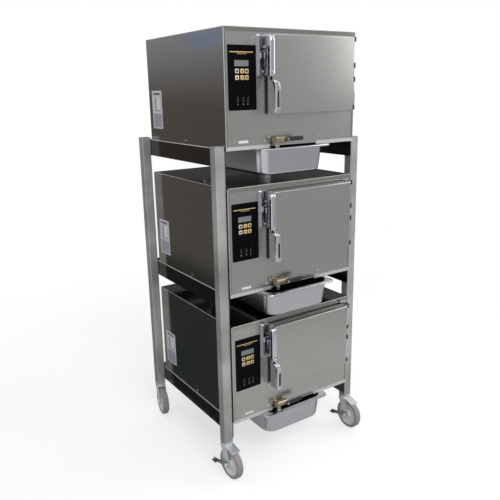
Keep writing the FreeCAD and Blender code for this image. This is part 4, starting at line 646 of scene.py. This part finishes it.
# Drip pans: the pressed rim is rolled over at its edge, which shows as a bright line.
panBead = {"radius": 2.2, "corner": 20, "steps": 6, "turns": 6}
for level in levels:
    low, high = [Vector(corner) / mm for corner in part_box("drip_pan_" + level)]
    middle, reach = (low + high) / 2, (high - low) / 2
    bm = bmesh.new()
    r, corner, turns = panBead["radius"], panBead["corner"], panBead["turns"]
    rings = []
    for quarter, (sideX, sideY) in enumerate(((1, 1), (-1, 1), (-1, -1), (1, -1))):
        for turn in range(turns + 1):
            angle = (quarter + turn / turns) * math.pi / 2
            ring = []
            for step in range(panBead["steps"]):
                around = math.tau * step / panBead["steps"]
                out = corner - r / 2 + r * math.cos(around)
                ring.append(bm.verts.new(Vector((
                    middle.x + sideX * (reach.x - corner) + out * math.cos(angle),
                    middle.y + sideY * (reach.y - corner) + out * math.sin(angle),
                    high.z - r + r * math.sin(around))) * mm))
            rings.append(ring)
    for first, second in zip(rings, rings[1:] + rings[:1]):
        for a, b, c, d in zip(first, second, second[1:] + second[:1], first[1:] + first[:1]):
            bm.faces.new((a, b, c, d))
    newPiece("pan_bead_" + level, bm, "pan_" + level, "DrawnPanSteel")

# Thin pale bars along the bend at the top of each side rail and along the folds round each front: painted
# highlights.
railEdge = {"side": 298.5, "front": -247, "back": 320, "radius": 1.5}
fold = {"side": 296.6, "front": -294.2, "radius": 1, "foot": 8, "head": 402.6}
bm, foldHighlights = bmesh.new(), bmesh.new()
for deck in levels.values():
    r, x, y, head = fold["radius"], fold["side"], fold["front"], deck + fold["head"]
    for side in (-x, x):
        addBlock(foldHighlights, (side - r, y - r, deck + fold["foot"]), (side + r, y + r, head - 3), 0.8, 3)
    addBlock(foldHighlights, (3 - x, y - r, head - r), (x - 3, y + r, head + r), 0.8, 3)
    r = railEdge["radius"]
    for x in (-railEdge["side"], railEdge["side"]):
        addBlock(bm, (x - r, railEdge["front"], deck - 2 * r),
                 (x + r, railEdge["back"], deck - 0.05), 1.1, 3)
newPiece("rail_bend_highlights", bm, mainBody, "PaintedEdgeHighlight")
newPiece("cabinet_fold_highlights", foldHighlights, mainBody, "PaintedEdgeHighlight")
print("pan beads and rail bends")

# Casters: hexagon heads and washers on the axle bolts, outside the fork and on the front
# casters outside the pedal's hood.
axleHead = {"radius": 7.6, "length": 5, "washer": 9, "washerGauge": 1.2, "forkOut": 19,
            "hoodOut": 26.3}
for joint in frame["joints"]:
    if not joint["name"].startswith("wheel_spin_"):
        continue
    corner = joint["name"][-2:]
    low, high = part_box("wheel_hub_" + corner)
    middle = (Vector(low) + Vector(high)) / 2
    axle = Vector(joint["axis"])
    turn = Vector((0, 0, 1)).rotation_difference(axle).to_matrix().to_4x4()
    bm = bmesh.new()
    washer, gauge = axleHead["washer"], axleHead["washerGauge"]
    farOut = axleHead["hoodOut" if corner in ("fl", "fr") else "forkOut"]
    for angle, out in ((0, axleHead["forkOut"]), (math.pi, farOut)):
        flip = Matrix.Rotation(angle, 4, "X")
        place = Matrix.Translation(middle) @ turn @ flip @ placeAt(0, 0, out)
        addTurned(bm, [(0.05, 3), (0.05, washer), (gauge, washer), (gauge, 3)], place, 24)
        lid = addPolygon(bm, place @ placeAt(0, 0, gauge), 6, axleHead["radius"],
                         axleHead["length"])
        roundEdges(bm, list(lid.edges), 0.8)
    newPiece("axle_heads_" + corner, bm, "fork_" + corner, "ZincPlatedPressing")

# Back: a pressed hood over each vent slot.
louvre = {"left": -265, "right": -169, "low": 240, "pitch": 14, "count": 7, "out": 4, "tall": 5}
for level, deck in levels.items():
    bm = bmesh.new()
    for step in range(louvre["count"]):
        z = deck + louvre["low"] + step * louvre["pitch"] + 3
        addBlock(bm, (louvre["left"], cabinet["back"] - 0.5, z),
                 (louvre["right"], cabinet["back"] + louvre["out"], z + louvre["tall"]), 1.9, 3)
    newPiece("vent_louvres_" + level, bm, mainBody, "SmokyStainlessSheet")
print("levers, axle heads and louvres")

# Camera of the photograph: a normal lens at standing height, off the front left corner.
camera = {"place": (-1.3698, -2.0320, 1.5015), "right": (0.828, -0.5605, -0.0184),
          "up": (0.1632, 0.2095, 0.9641), "ahead": (0.5365, 0.8012, -0.2649), "lens": 42.03}
lens = bpy.data.cameras.new("photoCamera")
lens.lens, lens.sensor_width = camera["lens"], 36
viewer = bpy.data.objects.new("photoCamera", lens)
scene.collection.objects.link(viewer)
axes = Matrix((camera["right"], camera["up"], [-v for v in camera["ahead"]])).transposed()
viewer.matrix_world = Matrix.Translation(camera["place"]) @ axes.to_4x4()
scene.camera = viewer
scene.view_settings.view_transform = "Standard"

# Studio: a white surround that is dimmer for diffuse light, two soft boxes and a pale floor
# that fades into the surround. Dark cloths stand and lie off to the left, where only
# reflections meet them, as they do beside polished metal in a studio.
studio = {"diffuse": 0.6, "floor": "#bdbdbb", "floorGlow": 0.6, "floorSheen": 0.12,
          "floorFade": (1.2, 2.6), "floorRadius": 7, "horizon": 0.42, "ceiling": 1.0,
          "back": 0.06, "left": 0.8,
          "boxes": {"keyBox": {"place": (-0.7, -3.4, 3.4), "size": 1.8, "power": 60},
                    "fillBox": {"place": (3.0, -1.6, 2.4), "size": 2.0, "power": 30}},
          "cloths": {"standingCloth": {"foot": "#625e59", "head": "#a7a9ae", "corners": [
                         (-1.6, 1.0, 0), (-1.6, 4.2, 0), (-1.6, 4.2, 2.6), (-1.6, 1.0, 2.6)]},
                     "lyingCloth": {"foot": "#343a37", "head": "#343a37", "corners": [
                         (-0.42, -0.15, 0.003), (-0.42, 0.75, 0.003), (-1.6, 3.6, 0.003),
                         (-1.6, 1.5, 0.003)]},
                     "windowCard": {"foot": "#8aa6cf", "head": "#8aa6cf", "corners": [
                         (-1.58, 1.8, 1.83), (-1.58, 2.24, 1.83), (-1.58, 2.24, 1.93),
                         (-1.58, 1.8, 1.93)]}},
          "clothRise": (1.3, 2.05)}


def addMath(tree, operation, *values):
    node = addNode(tree, "ShaderNodeMath", {"operation": operation})
    for slot, value in enumerate(values):
        if isinstance(value, bpy.types.NodeSocket):
            tree.links.new(value, node.inputs[slot])
        else:
            node.inputs[slot].default_value = value
    return node.outputs[0]


def ramp(tree, value, start, end, low, high):
    return addNode(tree, "ShaderNodeMapRange",
                   {"interpolation_type": "SMOOTHSTEP", "From Min": start, "From Max": end,
                    "To Min": low, "To Max": high}, {"Value": value}).outputs[0]


# The share of rays that the eye sends, straight or through something clear, and of glossy rays.
def raysOf(tree):
    ray = addNode(tree, "ShaderNodeLightPath").outputs
    seen = addMath(tree, "MAXIMUM", ray["Is Camera Ray"], ray["Is Transmission Ray"])
    return seen, ray["Is Glossy Ray"]


# first + share * (second - first)
def mixed(tree, share, first, second):
    return addMath(tree, "MULTIPLY_ADD", share, addMath(tree, "SUBTRACT", second, first), first)


# The surround is white to the eye and even for diffuse light. Polished metal mirrors it as a
# room: pale above, grey at the horizon, dark at the back right and brighter to the front left.
world = bpy.data.worlds.new("studioSurround")
scene.world = world
world.use_nodes = True
tree = world.node_tree
tree.nodes.clear()
toward = addNode(tree, "ShaderNodeSeparateXYZ", links={
    0: addNode(tree, "ShaderNodeTexCoord").outputs["Generated"]}).outputs
room = ramp(tree, toward["X"], -0.2, -0.7, studio["horizon"], studio["left"])
behind = addMath(tree, "MULTIPLY", ramp(tree, toward["Y"], 0.1, 0.5, 0, 1),
                 ramp(tree, toward["X"], 0.05, 0.3, 0, 1))
room = mixed(tree, behind, room, studio["back"])
room = mixed(tree, ramp(tree, toward["Z"], 0.3, 0.8, 0, 1), room, studio["ceiling"])
direct, glossy = raysOf(tree)
even = addMath(tree, "MULTIPLY_ADD", direct, 1 - studio["diffuse"], studio["diffuse"])
strength = mixed(tree, glossy, even, room)
glow = addNode(tree, "ShaderNodeBackground", {"Color": linear("#ffffff")}, {"Strength": strength})
addNode(tree, "ShaderNodeOutputWorld", links={"Surface": glow.outputs[0]})

for name, box in studio["boxes"].items():
    lamp = bpy.data.lights.new(name, "AREA")
    lamp.energy, lamp.size = box["power"], box["size"]
    holder = bpy.data.objects.new(name, lamp)
    scene.collection.objects.link(holder)
    place = Vector(box["place"])
    aim = (Vector((0, 0, 0.9)) - place).to_track_quat("-Z", "Y")
    holder.matrix_world = Matrix.Translation(place) @ aim.to_matrix().to_4x4()


def stagePiece(name, bm, material):
    data = bpy.data.meshes.new(name)
    bm.to_mesh(data)
    bm.free()
    data.materials.append(material)
    piece = bpy.data.objects.new(name, data)
    scene.collection.objects.link(piece)
    return piece


material, tree = startMaterial("PaleStudioFloor")
spot = addNode(tree, "ShaderNodeTexCoord").outputs["Object"]
reach = addNode(tree, "ShaderNodeVectorMath", {"operation": "LENGTH"}, {0: spot}).outputs["Value"]
fade = ramp(tree, reach, *studio["floorFade"], 0, 1)
paint = addNode(tree, "ShaderNodeBsdfDiffuse", {"Color": linear(studio["floor"])})
direct, glossy = raysOf(tree)
lift = addMath(tree, "MULTIPLY_ADD", direct, studio["floorGlow"],
               addMath(tree, "MULTIPLY", glossy, studio["floorSheen"]))
lift = addNode(tree, "ShaderNodeEmission", {"Color": linear("#ffffff")}, {"Strength": lift})
paint = addNode(tree, "ShaderNodeAddShader", links={0: paint.outputs[0], 1: lift.outputs[0]})
gone = addNode(tree, "ShaderNodeBsdfTransparent")
both = addNode(tree, "ShaderNodeMixShader",
               links={0: fade, 1: paint.outputs[0], 2: gone.outputs[0]})
closeMaterial(tree, both)
floorMesh = bmesh.new()
bmesh.ops.create_circle(floorMesh, cap_ends=True, segments=96, radius=studio["floorRadius"])
stagePiece("studioFloor", floorMesh, material)

# The standing cloth is darkest near the floor and paler and bluer at its head.
for name, cloth in studio["cloths"].items():
    material, tree = startMaterial(name)
    height = addNode(tree, "ShaderNodeSeparateXYZ", links={
        0: addNode(tree, "ShaderNodeTexCoord").outputs["Object"]}).outputs["Z"]
    tint = addNode(tree, "ShaderNodeMix",
                   {"data_type": "RGBA", 6: linear(cloth["foot"]), 7: linear(cloth["head"])},
                   {0: ramp(tree, height, *studio["clothRise"], 0, 1)}).outputs[2]
    closeMaterial(tree, addNode(tree, "ShaderNodeEmission", links={"Color": tint}))
    bm = bmesh.new()
    bmesh.ops.contextual_create(bm, geom=[bm.verts.new(c) for c in cloth["corners"]])
    piece = stagePiece(name, bm, material)
    piece.visible_camera = piece.visible_diffuse = piece.visible_shadow = False
    piece.visible_transmission = piece.visible_volume_scatter = False
print("studio: floor, surround, two soft boxes, two cloths and a card")
